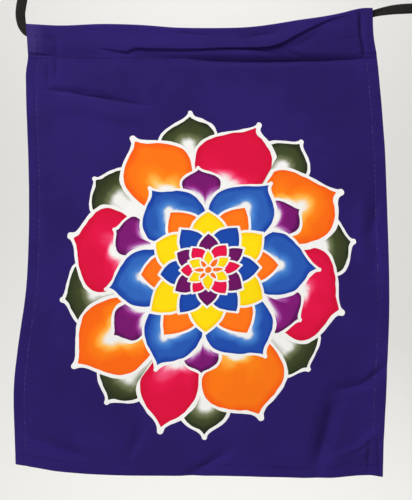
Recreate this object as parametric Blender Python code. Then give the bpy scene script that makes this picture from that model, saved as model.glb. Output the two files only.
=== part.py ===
"""Prayer flag wall hanging: one batik cotton flag on a flat black tape.

The flag is a single piece of cloth. Its side and bottom hems are turned to the back, and its top is
turned over and sewn down as a casing. A flat woven tape runs through the casing, leaves it at both
mouths, and is knotted at each end into a loop that goes over a hook.

Metres, +Z up, +X to the right, and the dyed face looks along -Y. The origin is the middle of the cloth's
top edge, halfway between its two faces.
"""
import math
from collections import namedtuple

import bmesh
import bpy
from mathutils import Matrix, Vector

MM = 0.001

# The flag as it hangs, and its cloth, drawn thick enough to be a solid.
FLAG_WIDTH = 282 * MM
FLAG_DROP = 352 * MM
CLOTH = 1.1 * MM
HEM = 8.6 * MM
HEM_STEP = 0.7 * MM

# The casing: where its seam lies under the origin, the turned-in strip below the seam, the room it has
# round the tape, and how much it is opened by the tape at its seam.
SEAM_DROP = 23.5 * MM
SEAM_TURN_IN = 3.0 * MM
CASING_HALF_GAP = 1.0 * MM
SEAM_HALF_GAP = 0.15 * MM
SEAM_GAP_RISE = 1.0 * MM
CASING_FULL_AT = 0.5

# The flat tape, and the clearance between solids that touch.
TAPE_WIDTH = 8.0 * MM
TAPE_THICK = 1.2 * MM
TAPE_BELOW_EDGE = 5.7 * MM
TAPE_POINT_STEP = 4.0 * MM
TAPE_INSIDE_STEP = 6.5 * MM
TOUCH_GAP = 0.3 * MM
CURVE_STEPS = 12

# How finely the cloth is drawn: bays across the middle, rows down the panel, rows up one side of the
# casing, and points round its top fold.
PANEL_BAYS = 31
PANEL_ROWS = 37
CASING_ROWS = 9
TOP_FOLD_POINTS = 3

# The outline as it hangs. Each row is a station along one edge: the share of the way from left to right
# or from top to bottom, and how far the edge stands outside the plain rectangle there.
Station = namedtuple("Station", "share outward_mm")
TOP_EDGE = (
    Station(0.00, 3.1), Station(0.10, 1.8), Station(0.22, 3.0), Station(0.33, 2.2), Station(0.44, 0.1),
    Station(0.60, 0.0), Station(0.68, 1.6), Station(0.79, 6.3), Station(0.91, 11.8), Station(0.965, 15.2),
    Station(1.00, 15.7),
)
BOTTOM_EDGE = (
    Station(0.00, -8.9), Station(0.06, -6.5), Station(0.12, -3.4), Station(0.20, -0.9), Station(0.32, 0.6),
    Station(0.55, -0.2), Station(0.72, 1.4), Station(0.85, 2.1), Station(0.96, -0.6), Station(1.00, 0.6),
)
LEFT_EDGE = (
    Station(0.00, 0.0), Station(0.07, -1.0), Station(0.12, 0.7), Station(0.34, -1.7), Station(0.48, -1.7),
    Station(0.61, 0.7), Station(0.74, 7.0), Station(0.84, 10.1), Station(1.00, 8.5),
)
RIGHT_EDGE = (
    Station(0.00, -10.4), Station(0.06, -9.6), Station(0.11, -6.4), Station(0.28, -0.9), Station(0.37, 0.7),
    Station(0.62, 3.0), Station(0.80, 0.7), Station(0.92, -1.7), Station(1.00, -2.5),
)

# The folds of the panel, in millimetres on its face: each runs from start over bend to end, is a soft
# ridge where rise is positive, towards the viewer, and a trough where it is negative. It dies away over
# a share of its length at each end, so one that runs out at a hem ends beyond it.
Fold = namedtuple("Fold", "start bend end width rise")
FOLD_END_SHARE = 0.35
PANEL_FOLDS = (
    Fold((-136, -46), (-90, -52), (-44, -64), 14, -1.9),
    Fold((-132, -58), (-86, -66), (-36, -76), 18, 1.3),
    Fold((135, -122), (130, -162), (137, -200), 13, -1.9),
    Fold((126, -112), (120, -164), (128, -208), 14, 1.0),
    Fold((150, -258), (127, -279), (90, -288), 14, -1.7),
    Fold((106, -276), (95, -316), (84, -372), 26, -2.8),
    Fold((146, -306), (122, -331), (86, -346), 15, 2.0),
    Fold((-26, -362), (0, -344), (26, -326), 14, -1.6),
    Fold((-150, -312), (-118, -330), (-76, -344), 16, -1.8),
    Fold((-66, -350), (-56, -326), (-46, -300), 17, -1.4),
)
# The casing's front layer is slack below the tape and falls back in under a lip that climbs to the right.
CASING_LIP = Fold((-84, -17), (60, -15), (112, 7), 11, 1.5)
LIP_EDGE_SHARE = 0.25
LIP_END = 20 * MM
# The seam draws the cloth in, and from a third of the way down it sways in soft flutes that grow towards
# the bottom hem.
SEAM_DRAW = 0.8 * MM
SEAM_DRAW_WIDTH = 9 * MM
SWAY_FROM = 0.35
Flute = namedtuple("Flute", "centre_mm width_mm rise_mm")
FLUTES = (Flute(-128, 60, 2.0), Flute(-62, 90, -1.6), Flute(8, 110, 1.4), Flute(136, 54, 1.8))

# The free stretches of the tape, in millimetres, with the share of its full width that each point has:
# it is bunched in the casing's mouths and lies flat beyond them.
TapePoint = namedtuple("TapePoint", "x y z width_share")
TAPE_LEFT = (
    TapePoint(-143.3, 0.0, 48.0, 0.80), TapePoint(-143.2, 0.0, 42.0, 1.00),
    TapePoint(-143.3, 0.0, 35.0, 1.00), TapePoint(-143.7, -0.3, 28.5, 1.00),
    TapePoint(-144.4, -0.7, 22.0, 1.00), TapePoint(-145.3, -0.8, 16.5, 1.00),
    TapePoint(-146.0, -0.6, 11.5, 0.92), TapePoint(-146.1, -0.3, 7.0, 0.82),
    TapePoint(-145.4, -0.1, 2.9, 0.72), TapePoint(-143.9, 0.0, -0.4, 0.68),
    TapePoint(-141.3, 0.0, -3.2, 0.68), TapePoint(-137.6, 0.0, -4.8, 0.74),
    TapePoint(-131.5, 0.0, -4.9, 0.88),
)
TAPE_RIGHT = (
    TapePoint(123.0, 0.0, 9.0, 0.88), TapePoint(127.4, 0.0, 10.0, 0.74),
    TapePoint(131.2, 0.0, 11.0, 0.68), TapePoint(136.2, 0.0, 12.3, 0.74),
    TapePoint(141.6, -0.3, 13.3, 0.84), TapePoint(148.2, -0.7, 14.2, 0.94),
    TapePoint(155.2, -1.0, 14.7, 1.00), TapePoint(162.2, -1.0, 15.0, 1.00),
    TapePoint(169.5, -0.6, 15.0, 1.00), TapePoint(176.6, -0.2, 14.9, 1.00),
    TapePoint(184.0, 0.0, 14.7, 0.80),
)
# Between them it runs under the casing's top fold, along this share of the top edge.
INSIDE_POINTS = 17
INSIDE_SHARE = 0.94

# The knotted end loops, along the tape's own direction: the knot's half sizes, its two slanted wraps,
# half the outline of the loop beyond it, and the cut tail with its width shares.
KNOT_HALF = Vector((4.6, 3.9, 5.4)) * MM
WRAP_RADIUS = 4.1 * MM
WRAP_THICK = 1.9 * MM
WRAP_SLANT = math.radians(24)
LoopPoint = namedtuple("LoopPoint", "along_mm side_mm")
LOOP_HALF = (
    LoopPoint(0.0, 1.6), LoopPoint(5.5, 2.6), LoopPoint(11.0, 5.6), LoopPoint(17.5, 8.6),
    LoopPoint(24.5, 10.0), LoopPoint(31.0, 8.8), LoopPoint(35.6, 5.4), LoopPoint(37.4, 1.2),
)
LOOP_POINT_STEP = 4.5 * MM
TAIL_LENGTH = 15 * MM
TAIL_LEAN = math.radians(62)
TAIL_WIDTH_SHARES = (0.80, 0.85, 0.95, 1.00)

SHARP_EDGE = math.radians(50)


def smoothstep(x):
    """0 below 0, 1 above 1, and a soft rise between."""
    x = max(0.0, min(1.0, x))
    return x * x * (3 - 2 * x)


def along_edge(stations, share):
    """How far outside the rectangle an edge stands at this share of its length, in metres: a smooth
    curve through the stations."""
    last = len(stations) - 1
    k = next((i for i in range(last) if share <= stations[i + 1].share), last - 1)
    a, b = stations[k], stations[k + 1]
    before, after = stations[max(k - 1, 0)], stations[min(k + 2, last)]
    slope_a = (b.outward_mm - before.outward_mm) / (b.share - before.share)
    slope_b = (after.outward_mm - a.outward_mm) / (after.share - a.share)
    span = b.share - a.share
    t = (share - a.share) / span
    rise = smoothstep(t)
    bend = t * (1 - t) * (slope_a * (1 - t) - slope_b * t) * span
    return (a.outward_mm * (1 - rise) + b.outward_mm * rise + bend) * MM


def top_height(u):
    return along_edge(TOP_EDGE, u)


def bottom_height(u):
    return -FLAG_DROP - along_edge(BOTTOM_EDGE, u)


def face_point(u, v):
    """A point on the flag's face at share u from left to right and share v from top to bottom."""
    left = -FLAG_WIDTH / 2 - along_edge(LEFT_EDGE, v)
    right = FLAG_WIDTH / 2 + along_edge(RIGHT_EDGE, v)
    z = top_height(u) * (1 - v) + bottom_height(u) * v
    return left + (right - left) * u, z


def seam_share(u):
    """The share v at which the casing's seam crosses column u."""
    top = top_height(u)
    return (top + SEAM_DROP) / (top - bottom_height(u))


def place_on_fold(x, z, fold):
    """A face point's distance from a fold's two straight runs, and the share of the fold it lies at."""
    point = Vector((x, z))
    start, bend, end = (Vector(p) * MM for p in (fold.start, fold.bend, fold.end))
    first_length, second_length = (bend - start).length, (end - bend).length
    nearest, share = math.inf, 0.0
    for a, b, before in ((start, bend, 0.0), (bend, end, first_length)):
        t = max(0.0, min(1.0, (point - a).dot(b - a) / (b - a).length_squared))
        distance = (point - a.lerp(b, t)).length
        if distance < nearest:
            nearest = distance
            share = (before + t * (b - a).length) / (first_length + second_length)
    return nearest, share


def fold_rise(x, z, fold):
    """What a fold adds at a face point, in metres towards the viewer: a soft bell across its line that
    dies away at both ends."""
    distance, share = place_on_fold(x, z, fold)
    across = 1 - smoothstep(distance / (fold.width * MM / 2))
    return fold.rise * MM * across * smoothstep(min(share, 1 - share) / FOLD_END_SHARE)


def panel_rise(x, z):
    """How far the panel stands towards the viewer from its plane."""
    rise = sum(fold_rise(x, z, fold) for fold in PANEL_FOLDS)
    rise -= SEAM_DRAW * (1 - smoothstep(abs(z + SEAM_DROP) / (SEAM_DRAW_WIDTH / 2)))
    sway = smoothstep((-z / FLAG_DROP - SWAY_FROM) / (1 - SWAY_FROM))
    for flute in FLUTES:
        across = abs(x - flute.centre_mm * MM) / (flute.width_mm * MM / 2)
        rise += flute.rise_mm * MM * sway * (1 - smoothstep(across))
    return rise


def lip_rise(x, z):
    """How far the casing's front layer bellies out above the lip's line, and not below it."""
    start, bend, end = (Vector(p) * MM for p in (CASING_LIP.start, CASING_LIP.bend, CASING_LIP.end))
    if x < bend.x:
        line = start.y + (bend.y - start.y) * (x - start.x) / (bend.x - start.x)
    else:
        line = bend.y + (end.y - bend.y) * (x - bend.x) / (end.x - bend.x)
    width = CASING_LIP.width * MM
    belly = smoothstep((z - line) / (width * LIP_EDGE_SHARE)) * (1 - smoothstep((z - line) / width))
    ends = smoothstep((x - start.x) / LIP_END) * smoothstep((end.x - x) / LIP_END)
    return CASING_LIP.rise * MM * belly * ends


def columns():
    """Shares u of the cloth's columns: both hems with their steps, and even bays between."""
    hem = HEM / FLAG_WIDTH
    step = HEM_STEP / FLAG_WIDTH
    first = hem + step
    middle = [first + (1 - 2 * first) * i / PANEL_BAYS for i in range(PANEL_BAYS + 1)]
    return [0.0, hem / 2, hem] + middle + [1 - hem, 1 - hem / 2, 1.0]


def panel_rows(u):
    """Shares v of column u's rows from the bottom edge up to the seam, each with its extra layers."""
    seam = seam_share(u)
    length = top_height(u) - bottom_height(u)
    hem, step, turn_in = HEM / length, HEM_STEP / length, SEAM_TURN_IN / length
    low, high = 1 - hem - step, seam + turn_in + step
    rows = [(1.0, 1), (1 - hem / 2, 1), (1 - hem, 1)]
    rows += [(low + (high - low) * i / PANEL_ROWS, 0) for i in range(PANEL_ROWS + 1)]
    return rows + [(seam + turn_in, 1), (seam, 1)]


def cloth_column(u, in_side_hem):
    """One column's outer loop of points, from the bottom up the face and down the back, and the loop
    of points of the casing's hollow, which match the outer loop's points from seam to seam."""
    front, back = [], []
    for v, hemmed in panel_rows(u):
        x, z = face_point(u, v)
        y = -panel_rise(x, z)
        layers = 2 if hemmed or in_side_hem else 1
        front.append(Vector((x, y - CLOTH / 2, z)))
        back.append(Vector((x, y - CLOTH / 2 + layers * CLOTH, z)))

    seam = seam_share(u)
    fold_radius = CASING_HALF_GAP + CLOTH
    top = top_height(u)
    shoulder = top - fold_radius
    hem_layer = CLOTH / 2 if in_side_hem else 0.0
    hollow_front, hollow_back = [], []
    for row in range(CASING_ROWS + 1):
        share = row / CASING_ROWS
        z = -SEAM_DROP + (shoulder + SEAM_DROP) * share
        x, _ = face_point(u, seam * (top - z) / (top + SEAM_DROP))
        opened = smoothstep(share / CASING_FULL_AT)
        middle = (CLOTH / 2 - panel_rise(x, z)) * (1 - opened)
        half_gap = SEAM_HALF_GAP + (CASING_HALF_GAP - SEAM_HALF_GAP) * opened
        lip = lip_rise(x, z)
        hollow_z = z + SEAM_GAP_RISE * (1 - share)
        hollow_front.append(Vector((x, middle - half_gap - lip, hollow_z)))
        hollow_back.append(Vector((x, middle + half_gap, hollow_z)))
        if row:
            front.append(Vector((x, middle - half_gap - CLOTH - lip, z)))
            back.append(Vector((x, middle + half_gap + CLOTH + hem_layer, z)))

    x, _ = face_point(u, 0.0)
    outer_fold, hollow_fold = [], []
    for i in range(1, TOP_FOLD_POINTS + 1):
        angle = math.pi * i / (TOP_FOLD_POINTS + 1)
        turn = Vector((0, -math.cos(angle), math.sin(angle)))
        centre = Vector((x, 0, shoulder))
        outer_fold.append(centre + turn * fold_radius)
        hollow_fold.append(centre + turn * CASING_HALF_GAP)
    outer = front + outer_fold + back[::-1]
    hollow = hollow_front + hollow_fold + hollow_back[::-1]
    return outer, hollow


def skin(bm, rings):
    """Quads between neighbouring closed rings of vertices."""
    count = len(rings[0])
    for a, b in zip(rings, rings[1:]):
        for i in range(count):
            j = (i + 1) % count
            bm.faces.new((a[i], a[j], b[j], b[i]))


def close_side(bm, outer, hollow):
    """The cloth's side edge: a ladder across the panel, and the casing's layers round its mouth."""
    seam = (len(outer) - len(hollow)) // 2
    for k in range(seam):
        bm.faces.new((outer[k], outer[k + 1], outer[-k - 2], outer[-k - 1]))
    casing = outer[seam:len(outer) - seam]
    for k in range(len(casing) - 1):
        bm.faces.new((casing[k], casing[k + 1], hollow[k + 1], hollow[k]))
    bm.faces.new((casing[0], hollow[0], hollow[-1], casing[-1]))


def add_mesh(name, bm, material):
    bmesh.ops.recalc_face_normals(bm, faces=bm.faces)
    mesh = bpy.data.meshes.new(name)
    bm.to_mesh(mesh)
    bm.free()
    mesh.shade_smooth()
    mesh.set_sharp_from_angle(angle=SHARP_EDGE)
    mesh.materials.append(material)
    obj = bpy.data.objects.new(name, mesh)
    bpy.context.scene.collection.objects.link(obj)
    return obj


def add_flag_cloth(material):
    bm = bmesh.new()
    outers, hollows = [], []
    hem = (HEM + HEM_STEP / 2) / FLAG_WIDTH
    for u in columns():
        outer, hollow = cloth_column(u, in_side_hem=min(u, 1 - u) < hem)
        outers.append([bm.verts.new(p) for p in outer])
        hollows.append([bm.verts.new(p) for p in hollow])
    skin(bm, outers)
    skin(bm, hollows)
    close_side(bm, outers[0], hollows[0])
    close_side(bm, outers[-1], hollows[-1])
    return add_mesh("flag_cloth", bm, material)


def tape_route():
    """The whole tape from knot to knot, as points with their width share: by hand outside the casing,
    and under its top fold inside."""
    inside = []
    for i in range(1, INSIDE_POINTS + 1):
        u = 0.5 + (i / (INSIDE_POINTS + 1) - 0.5) * INSIDE_SHARE
        x, _ = face_point(u, 0.0)
        inside.append(TapePoint(x / MM, 0.0, (top_height(u) - TAPE_BELOW_EDGE) / MM, 1.0))
    return TAPE_LEFT + tuple(inside) + TAPE_RIGHT


def smooth_curve(points):
    """Points on a centripetal Catmull-Rom curve through the given ones, CURVE_STEPS to each span."""
    ends = [points[0] * 2 - points[1]] + list(points) + [points[-1] * 2 - points[-2]]
    curve = []
    for p0, p1, p2, p3 in zip(ends, ends[1:], ends[2:], ends[3:]):
        t1 = math.sqrt((p1 - p0).length)
        t2 = t1 + math.sqrt((p2 - p1).length)
        t3 = t2 + math.sqrt((p3 - p2).length)
        for k in range(CURVE_STEPS):
            t = t1 + (t2 - t1) * k / CURVE_STEPS
            a1 = p0.lerp(p1, t / t1)
            a2 = p1.lerp(p2, (t - t1) / (t2 - t1))
            a3 = p2.lerp(p3, (t - t2) / (t3 - t2))
            b1 = a1.lerp(a2, t / t2)
            b2 = a2.lerp(a3, (t - t1) / (t3 - t1))
            curve.append(b1.lerp(b2, (t - t1) / (t2 - t1)))
    return curve + [points[-1].copy()]


def distances(curve):
    """The distance along a curve to each of its points."""
    along = [0.0]
    for a, b in zip(curve, curve[1:]):
        along.append(along[-1] + (b - a).length)
    return along


def stretch(curve, start, end, step):
    """Evenly spaced stations of a dense curve between two distances along it: each is a point and its
    place in the curve's list, as a number with a fraction."""
    along = distances(curve)
    count = max(2, round((end - start) / step))
    stations, k = [], 0
    for i in range(count + 1):
        wanted = start + (end - start) * i / count
        while k < len(along) - 2 and along[k + 1] < wanted:
            k += 1
        share = (wanted - along[k]) / (along[k + 1] - along[k])
        stations.append((curve[k].lerp(curve[k + 1], share), k + share))
    return stations


def add_tape_curve(name, points, width_shares, material, across=0.0):
    """A flat woven tape along points. Its width lies in the flag's plane, or square to it where across
    is a quarter turn."""
    curve = bpy.data.curves.new(name, "CURVE")
    curve.dimensions = "3D"
    curve.fill_mode = "FULL"
    curve.twist_mode = "MINIMUM"
    curve.extrude = (TAPE_WIDTH - TAPE_THICK) / 2
    curve.bevel_depth = TAPE_THICK / 2
    curve.bevel_resolution = 2
    curve.use_fill_caps = True
    spline = curve.splines.new("POLY")
    spline.points.add(len(points) - 1)
    for place, width_share, point in zip(points, width_shares, spline.points):
        point.co = (*place, 1)
        point.radius = width_share
        point.tilt = across
    curve.materials.append(material)
    obj = bpy.data.objects.new(name, curve)
    bpy.context.scene.collection.objects.link(obj)
    return obj


def add_tapes(material):
    """The three stretches of the tape, a touching gap apart where they meet inside the mouths."""
    route = tape_route()
    curve = smooth_curve([Vector((p.x, p.y, p.z)) * MM for p in route])
    along = distances(curve)
    mouth_left = along[(len(TAPE_LEFT) - 1) * CURVE_STEPS]
    mouth_right = along[(len(route) - len(TAPE_RIGHT)) * CURVE_STEPS]
    cuts = (
        ("tape_left", 0.0, mouth_left, TAPE_POINT_STEP),
        ("tape_in_casing", mouth_left + TOUCH_GAP, mouth_right - TOUCH_GAP, TAPE_INSIDE_STEP),
        ("tape_right", mouth_right, along[-1], TAPE_POINT_STEP),
    )
    for name, start, end, step in cuts:
        stations = stretch(curve, start, end, step)
        shares = []
        for _, place in stations:
            k = min(int(place / CURVE_STEPS), len(route) - 2)
            t = place / CURVE_STEPS - k
            shares.append(route[k].width_share * (1 - t) + route[k + 1].width_share * t)
        add_tape_curve(name, [point for point, _ in stations], shares, material)


def as_guide(obj, name):
    """Names an object that only a Boolean uses, and leaves it out of the model."""
    obj.name = name
    obj.hide_render = True
    obj.display_type = "WIRE"
    return obj


def curve_as_mesh(obj):
    """Swaps a curve object for a mesh object of its evaluated shape."""
    depsgraph = bpy.context.evaluated_depsgraph_get()
    mesh = bpy.data.meshes.new_from_object(obj.evaluated_get(depsgraph))
    name = obj.name
    bpy.data.objects.remove(obj)
    solid = bpy.data.objects.new(name, mesh)
    bpy.context.scene.collection.objects.link(solid)
    return solid


def add_loop_and_tail(material):
    """The loop of tape beyond the knot, which stands across the hook, and the tape's cut tail."""
    outline = [Vector((-p.side_mm, 0, p.along_mm)) * MM for p in LOOP_HALF]
    outline += [Vector((-p.x, 0, p.z)) for p in outline[::-1]]
    curve = smooth_curve(outline)
    points = [point for point, _ in stretch(curve, 0.0, distances(curve)[-1], LOOP_POINT_STEP)]
    loop = add_tape_curve("loop", points, [1.0] * len(points), material, across=math.pi / 2)

    way = Vector((math.sin(TAIL_LEAN), 0, -math.cos(TAIL_LEAN))) * TAIL_LENGTH
    last = len(TAIL_WIDTH_SHARES) - 1
    tail_points = [way * (i / last) for i in range(last + 1)]
    tail = add_tape_curve("tail", tail_points, TAIL_WIDTH_SHARES, material)
    return curve_as_mesh(loop), curve_as_mesh(tail)


def add_wrap(slant, material):
    """One turn of the knot: a ring of folded tape round its length, leaning by slant."""
    bpy.ops.mesh.primitive_torus_add(
        major_segments=20, minor_segments=8, major_radius=WRAP_RADIUS, minor_radius=WRAP_THICK)
    wrap = bpy.context.object
    wrap.data.transform(Matrix.Rotation(slant, 4, "Y"))
    wrap.data.materials.append(material)
    return wrap


def add_end_loop(side, end, along, material):
    """The tape's knotted end, fused: the knot's core, its wraps, the loop and the tail. It is made at
    the origin with the tape coming up +Z, and then seated on the tape's end."""
    bpy.ops.mesh.primitive_uv_sphere_add(segments=16, ring_count=10, radius=1.0)
    knot = bpy.context.object
    knot.name = f"loop_{side}"
    knot.data.transform(Matrix.Diagonal(KNOT_HALF).to_4x4())
    knot.data.materials.append(material)

    turn = Vector((0, 0, 1)).rotation_difference(along).to_matrix().to_4x4()
    seat = Matrix.Translation(end + along * (KNOT_HALF.z + TOUCH_GAP)) @ turn
    knot.data.transform(seat)
    pieces = (*add_loop_and_tail(material), add_wrap(WRAP_SLANT, material), add_wrap(-WRAP_SLANT, material))
    for number, piece in enumerate(pieces):
        guide = as_guide(piece, f"{side}_end_guide_{number}")
        guide.data.transform(seat)
        union = knot.modifiers.new("Union", "BOOLEAN")
        union.operation = "UNION"
        union.object = guide


def add_material(name, colour, roughness):
    material = bpy.data.materials.new(name)
    material.use_nodes = True
    shader = material.node_tree.nodes["Principled BSDF"]
    shader.inputs["Base Color"].default_value = (*colour, 1)
    shader.inputs["Roughness"].default_value = roughness
    shader.inputs["Metallic"].default_value = 0.0
    return material


def main():
    for obj in list(bpy.data.objects):
        bpy.data.objects.remove(obj)
    add_flag_cloth(add_material("dyed_cotton", (0.028, 0.014, 0.117), 0.85))
    black_tape = add_material("black_tape", (0.018, 0.017, 0.015), 0.9)
    add_tapes(black_tape)
    left = [Vector((p.x, p.y, p.z)) * MM for p in TAPE_LEFT[:2]]
    right = [Vector((p.x, p.y, p.z)) * MM for p in TAPE_RIGHT[-2:]]
    add_end_loop("left", left[0], (left[0] - left[1]).normalized(), black_tape)
    add_end_loop("right", right[1], (right[1] - right[0]).normalized(), black_tape)


main()
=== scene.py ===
"""Looks of a prayer flag wall hanging: one batik cotton flag on a flat black tape.

Metres, +Z up, +X to the right, and the dyed face looks along -Y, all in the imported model's frame.
"""
import math
from collections import namedtuple

import bmesh
import bpy
import numpy as np
from mathutils import Matrix, Vector, noise


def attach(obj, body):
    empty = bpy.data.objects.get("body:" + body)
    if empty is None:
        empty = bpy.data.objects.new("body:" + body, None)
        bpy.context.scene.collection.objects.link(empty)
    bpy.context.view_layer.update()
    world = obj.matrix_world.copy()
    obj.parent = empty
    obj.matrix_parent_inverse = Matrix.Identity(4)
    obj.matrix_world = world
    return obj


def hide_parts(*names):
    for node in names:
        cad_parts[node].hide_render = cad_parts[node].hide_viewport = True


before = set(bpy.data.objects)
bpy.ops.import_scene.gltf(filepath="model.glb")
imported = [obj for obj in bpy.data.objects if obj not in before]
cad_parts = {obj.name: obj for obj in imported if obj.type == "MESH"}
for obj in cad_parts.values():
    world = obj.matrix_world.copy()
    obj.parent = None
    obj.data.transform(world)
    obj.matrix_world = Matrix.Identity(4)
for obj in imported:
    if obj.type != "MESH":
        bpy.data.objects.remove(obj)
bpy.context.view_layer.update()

# The flag's cloth is one rectangle of plain-woven cotton. Its side and bottom edges are turned to the
# back as hems, and its top is turned over to the back and sewn down as a casing for the tape. It hangs
# from the tape a little askew, creased along the casing and fluted towards the bottom hem.
MM = 0.001
FLAG_WIDTH = 282 * MM
FLAG_DROP = 352 * MM
HEM = 8.6 * MM
HEM_EASE = 1.4 * MM
CLOTH = 0.36 * MM
LAYER_PITCH = 0.46 * MM
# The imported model's cloth is thicker. This finer sheet keeps to the face of it.
SOLID_CLOTH = 1.1 * MM
SIDE_FOLD_RADIUS = 0.35 * MM
BOTTOM_FOLD_RADIUS = 0.8 * MM

SEAM_DROP = 23.5 * MM
SEAM_TURN_IN = 3.0 * MM
CASING_HALF = 1.9 * MM
CASING_FULL_AT = 0.5


def listed(kind, *rows):
    """Each row of numbers as one of this kind."""
    return [kind(*row) for row in rows]


# The outline as it hangs: at this share of the way from left to right or from top to bottom, the edge
# stands so far outside the plain rectangle.
Station = namedtuple("Station", "share outward_mm")
TOP_EDGE = listed(
    Station, (0.00, 3.1), (0.10, 1.8), (0.22, 3.0), (0.33, 2.2), (0.44, 0.1), (0.60, 0.0), (0.68, 1.6),
    (0.79, 6.3), (0.91, 11.8), (0.965, 15.2), (1.00, 15.7),
)
BOTTOM_EDGE = listed(
    Station, (0.00, -8.9), (0.06, -6.5), (0.12, -3.4), (0.20, -0.9), (0.32, 0.6), (0.55, -0.2),
    (0.72, 1.4), (0.85, 2.1), (0.96, -0.6), (1.00, 0.6),
)
LEFT_EDGE = listed(
    Station, (0.00, 0.0), (0.07, -1.0), (0.12, 0.7), (0.34, -1.7), (0.48, -1.7), (0.61, 0.7), (0.74, 7.0),
    (0.84, 10.1), (1.00, 8.5),
)
RIGHT_EDGE = listed(
    Station, (0.00, -10.4), (0.06, -9.6), (0.11, -6.4), (0.28, -0.9), (0.37, 0.7), (0.62, 3.0),
    (0.80, 0.7), (0.92, -1.7), (1.00, -2.5),
)

# Folds of the panel in millimetres on its face, each from start over bend to end: a soft ridge where
# rise is positive, towards the viewer, and a trough where it is negative.
Fold = namedtuple("Fold", "start bend end width rise")
FOLD_END_SHARE = 0.35
PANEL_FOLDS = listed(
    Fold,
    ((-136, -47), (-90, -52), (-44, -63), 10, -1.1),
    ((-132, -57), (-86, -65), (-36, -75), 18, 1.2),
    ((135, -122), (130, -162), (137, -200), 13, -1.9),
    ((126, -112), (120, -164), (128, -208), 14, 1.0),
    ((150, -258), (127, -279), (90, -288), 14, -1.7),
    ((106, -276), (95, -316), (84, -372), 26, -2.8),
    ((146, -306), (122, -331), (86, -346), 15, 2.0),
    ((-26, -362), (0, -344), (26, -326), 14, -1.6),
    ((-150, -312), (-118, -330), (-76, -344), 16, -1.8),
    ((-66, -350), (-56, -326), (-46, -300), 17, -1.4),
    ((103, -288), (95, -318), (87, -348), 15, -1.7),
    ((112, -292), (104, -318), (99, -344), 10, 0.6),
    ((-117, -24), (-117, -32), (-118, -44), 6, -0.6),
    ((136, -326), (124, -337), (110, -343), 6, 0.6),
    ((40, -100), (66, -118), (92, -124), 8, -0.2),
    ((-138, -210), (-124, -222), (-112, -238), 8, -0.3),
    ((88, -28), (96, -37), (100, -52), 8, -0.35),
)
CASING_FOLDS = listed(
    Fold,
    ((62, -16), (78, -11), (93, -2), 9, -1.0),
    ((-126, -6), (-118, -11), (-117, -22), 6, -0.7),
    ((121, 15), (121.5, -6), (124, -23), 5, -0.9),
    ((126, 14), (126, -6), (128, -22), 6, 0.5),
    ((104, -4), (109, 0), (111, 6), 5, 0.4),
)
# Sharp creases, finer than the folds, each a short run in millimetres on the hanging face. Part of each
# crease's depth is in the sheet's shape, a little spread, and the rest is the crisp line in its middle,
# a bump in the material with painted shade in the colour.
Crease = namedtuple("Crease", "start end width rise")
FINE_CREASES = listed(
    Crease,
    ((-131, -48.2), (-94, -52.0), 5.0, -0.60),
    ((-108, -50.8), (-70, -57.0), 4.2, -1.10),
    ((-86, -54.0), (-38, -63.0), 4.6, -0.65),
    ((-128, -6.0), (-116, -14.0), 6.0, -0.50),
    ((-117.2, -10.0), (-118.6, -44.0), 6.0, -0.35),
    ((-125.4, -27), (-123.0, -47), 6.0, -0.75),
    ((-144, -20.4), (-118, -22.8), 3.8, -0.60),
    ((-98, -0.6), (-82, -4.2), 3.8, -0.45),
    ((-32, -4.0), (8, -7.2), 4.6, -0.55),
    ((26, -9.0), (58, -3.8), 5.0, -0.70),
    ((30, -15.0), (60, -20.8), 4.2, -0.85),
    ((58, -17.4), (86, -23.6), 4.6, -0.80),
    ((120.2, 18.0), (122.2, -10.0), 5.2, -1.10),
    ((121.4, -4.0), (125.5, -26.0), 5.2, -1.10),
    ((106.0, 6.6), (123.0, 2.0), 5.0, -0.40),
    ((104.0, -10.0), (123.0, -7.0), 5.0, -0.45),
    ((110.0, -19.0), (124.0, -15.0), 4.6, -0.40),
    ((116.0, -20.0), (139.0, -21.3), 3.4, -0.60),
    ((134.5, -134), (131.5, -164), 5.2, -0.75),
    ((131.0, -156), (136.5, -190), 5.2, -0.60),
    ((108, -196.0), (144, -198.8), 3.4, -0.40),
    ((143, -264.0), (118, -284.0), 5.0, -0.80),
    ((130, -279.0), (102, -285.0), 4.6, -0.55),
    ((102, -296), (87, -348), 13.0, -0.55),
    ((136, -319), (116, -335), 5.2, -1.00),
    ((124, -330), (100, -341), 5.0, -0.75),
    ((127.2, -320), (127.4, -353), 4.6, -0.85),
    ((134.6, -318), (135.2, -354), 4.6, -0.80),
    ((-17, -352), (16, -335), 4.8, -0.60),
    ((-138, -322), (-122, -328), 4.0, -0.45),
    ((-108, -333.5), (-92, -338.5), 4.0, -0.40),
    ((-62, -339), (-46, -313), 10.0, -0.45),
    ((6, -26.4), (124, -24.6), 8.0, -0.80),
)
CREASE_IN_SHEET = 0.55
CREASE_IN_LINE = 0.6
CREASE_SPREAD = 1.15
# The casing's front layer is slack below the tape and hangs over in a lip that climbs to the right. The
# lip's line is a height in millimetres at each share of the way across.
LIP_LINE = listed(
    Station, (0.200, -16.2), (0.235, -17.0), (0.262, -17.9), (0.288, -18.0), (0.302, -16.2),
    (0.318, -15.4), (0.345, -15.9), (0.480, -16.4), (0.567, -15.4), (0.690, -14.5), (0.729, -12.2),
    (0.748, -9.9), (0.793, -3.5), (0.842, 2.8), (0.878, 6.5), (0.930, 9.5),
)
LIP_STRENGTH = listed(
    Station, (0.200, 0.0), (0.250, 0.30), (0.310, 0.6), (0.500, 0.65), (0.620, 0.90), (0.700, 1.15),
    (0.760, 0.85), (0.850, 0.55), (0.930, 0.0),
)
LIP_RISE = 1.7 * MM
LIP_HEIGHT = 11 * MM
LIP_EDGE = 0.5 * MM
LIP_HANG = 1.5 * MM
LIP_RECESS = 0.9 * MM
LIP_RECESS_HEIGHT = 3.2 * MM
LIP_RECESS_ABOVE_SHARE = 0.4
LIP_ROWS_NEAR = 1.0 * MM
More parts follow.
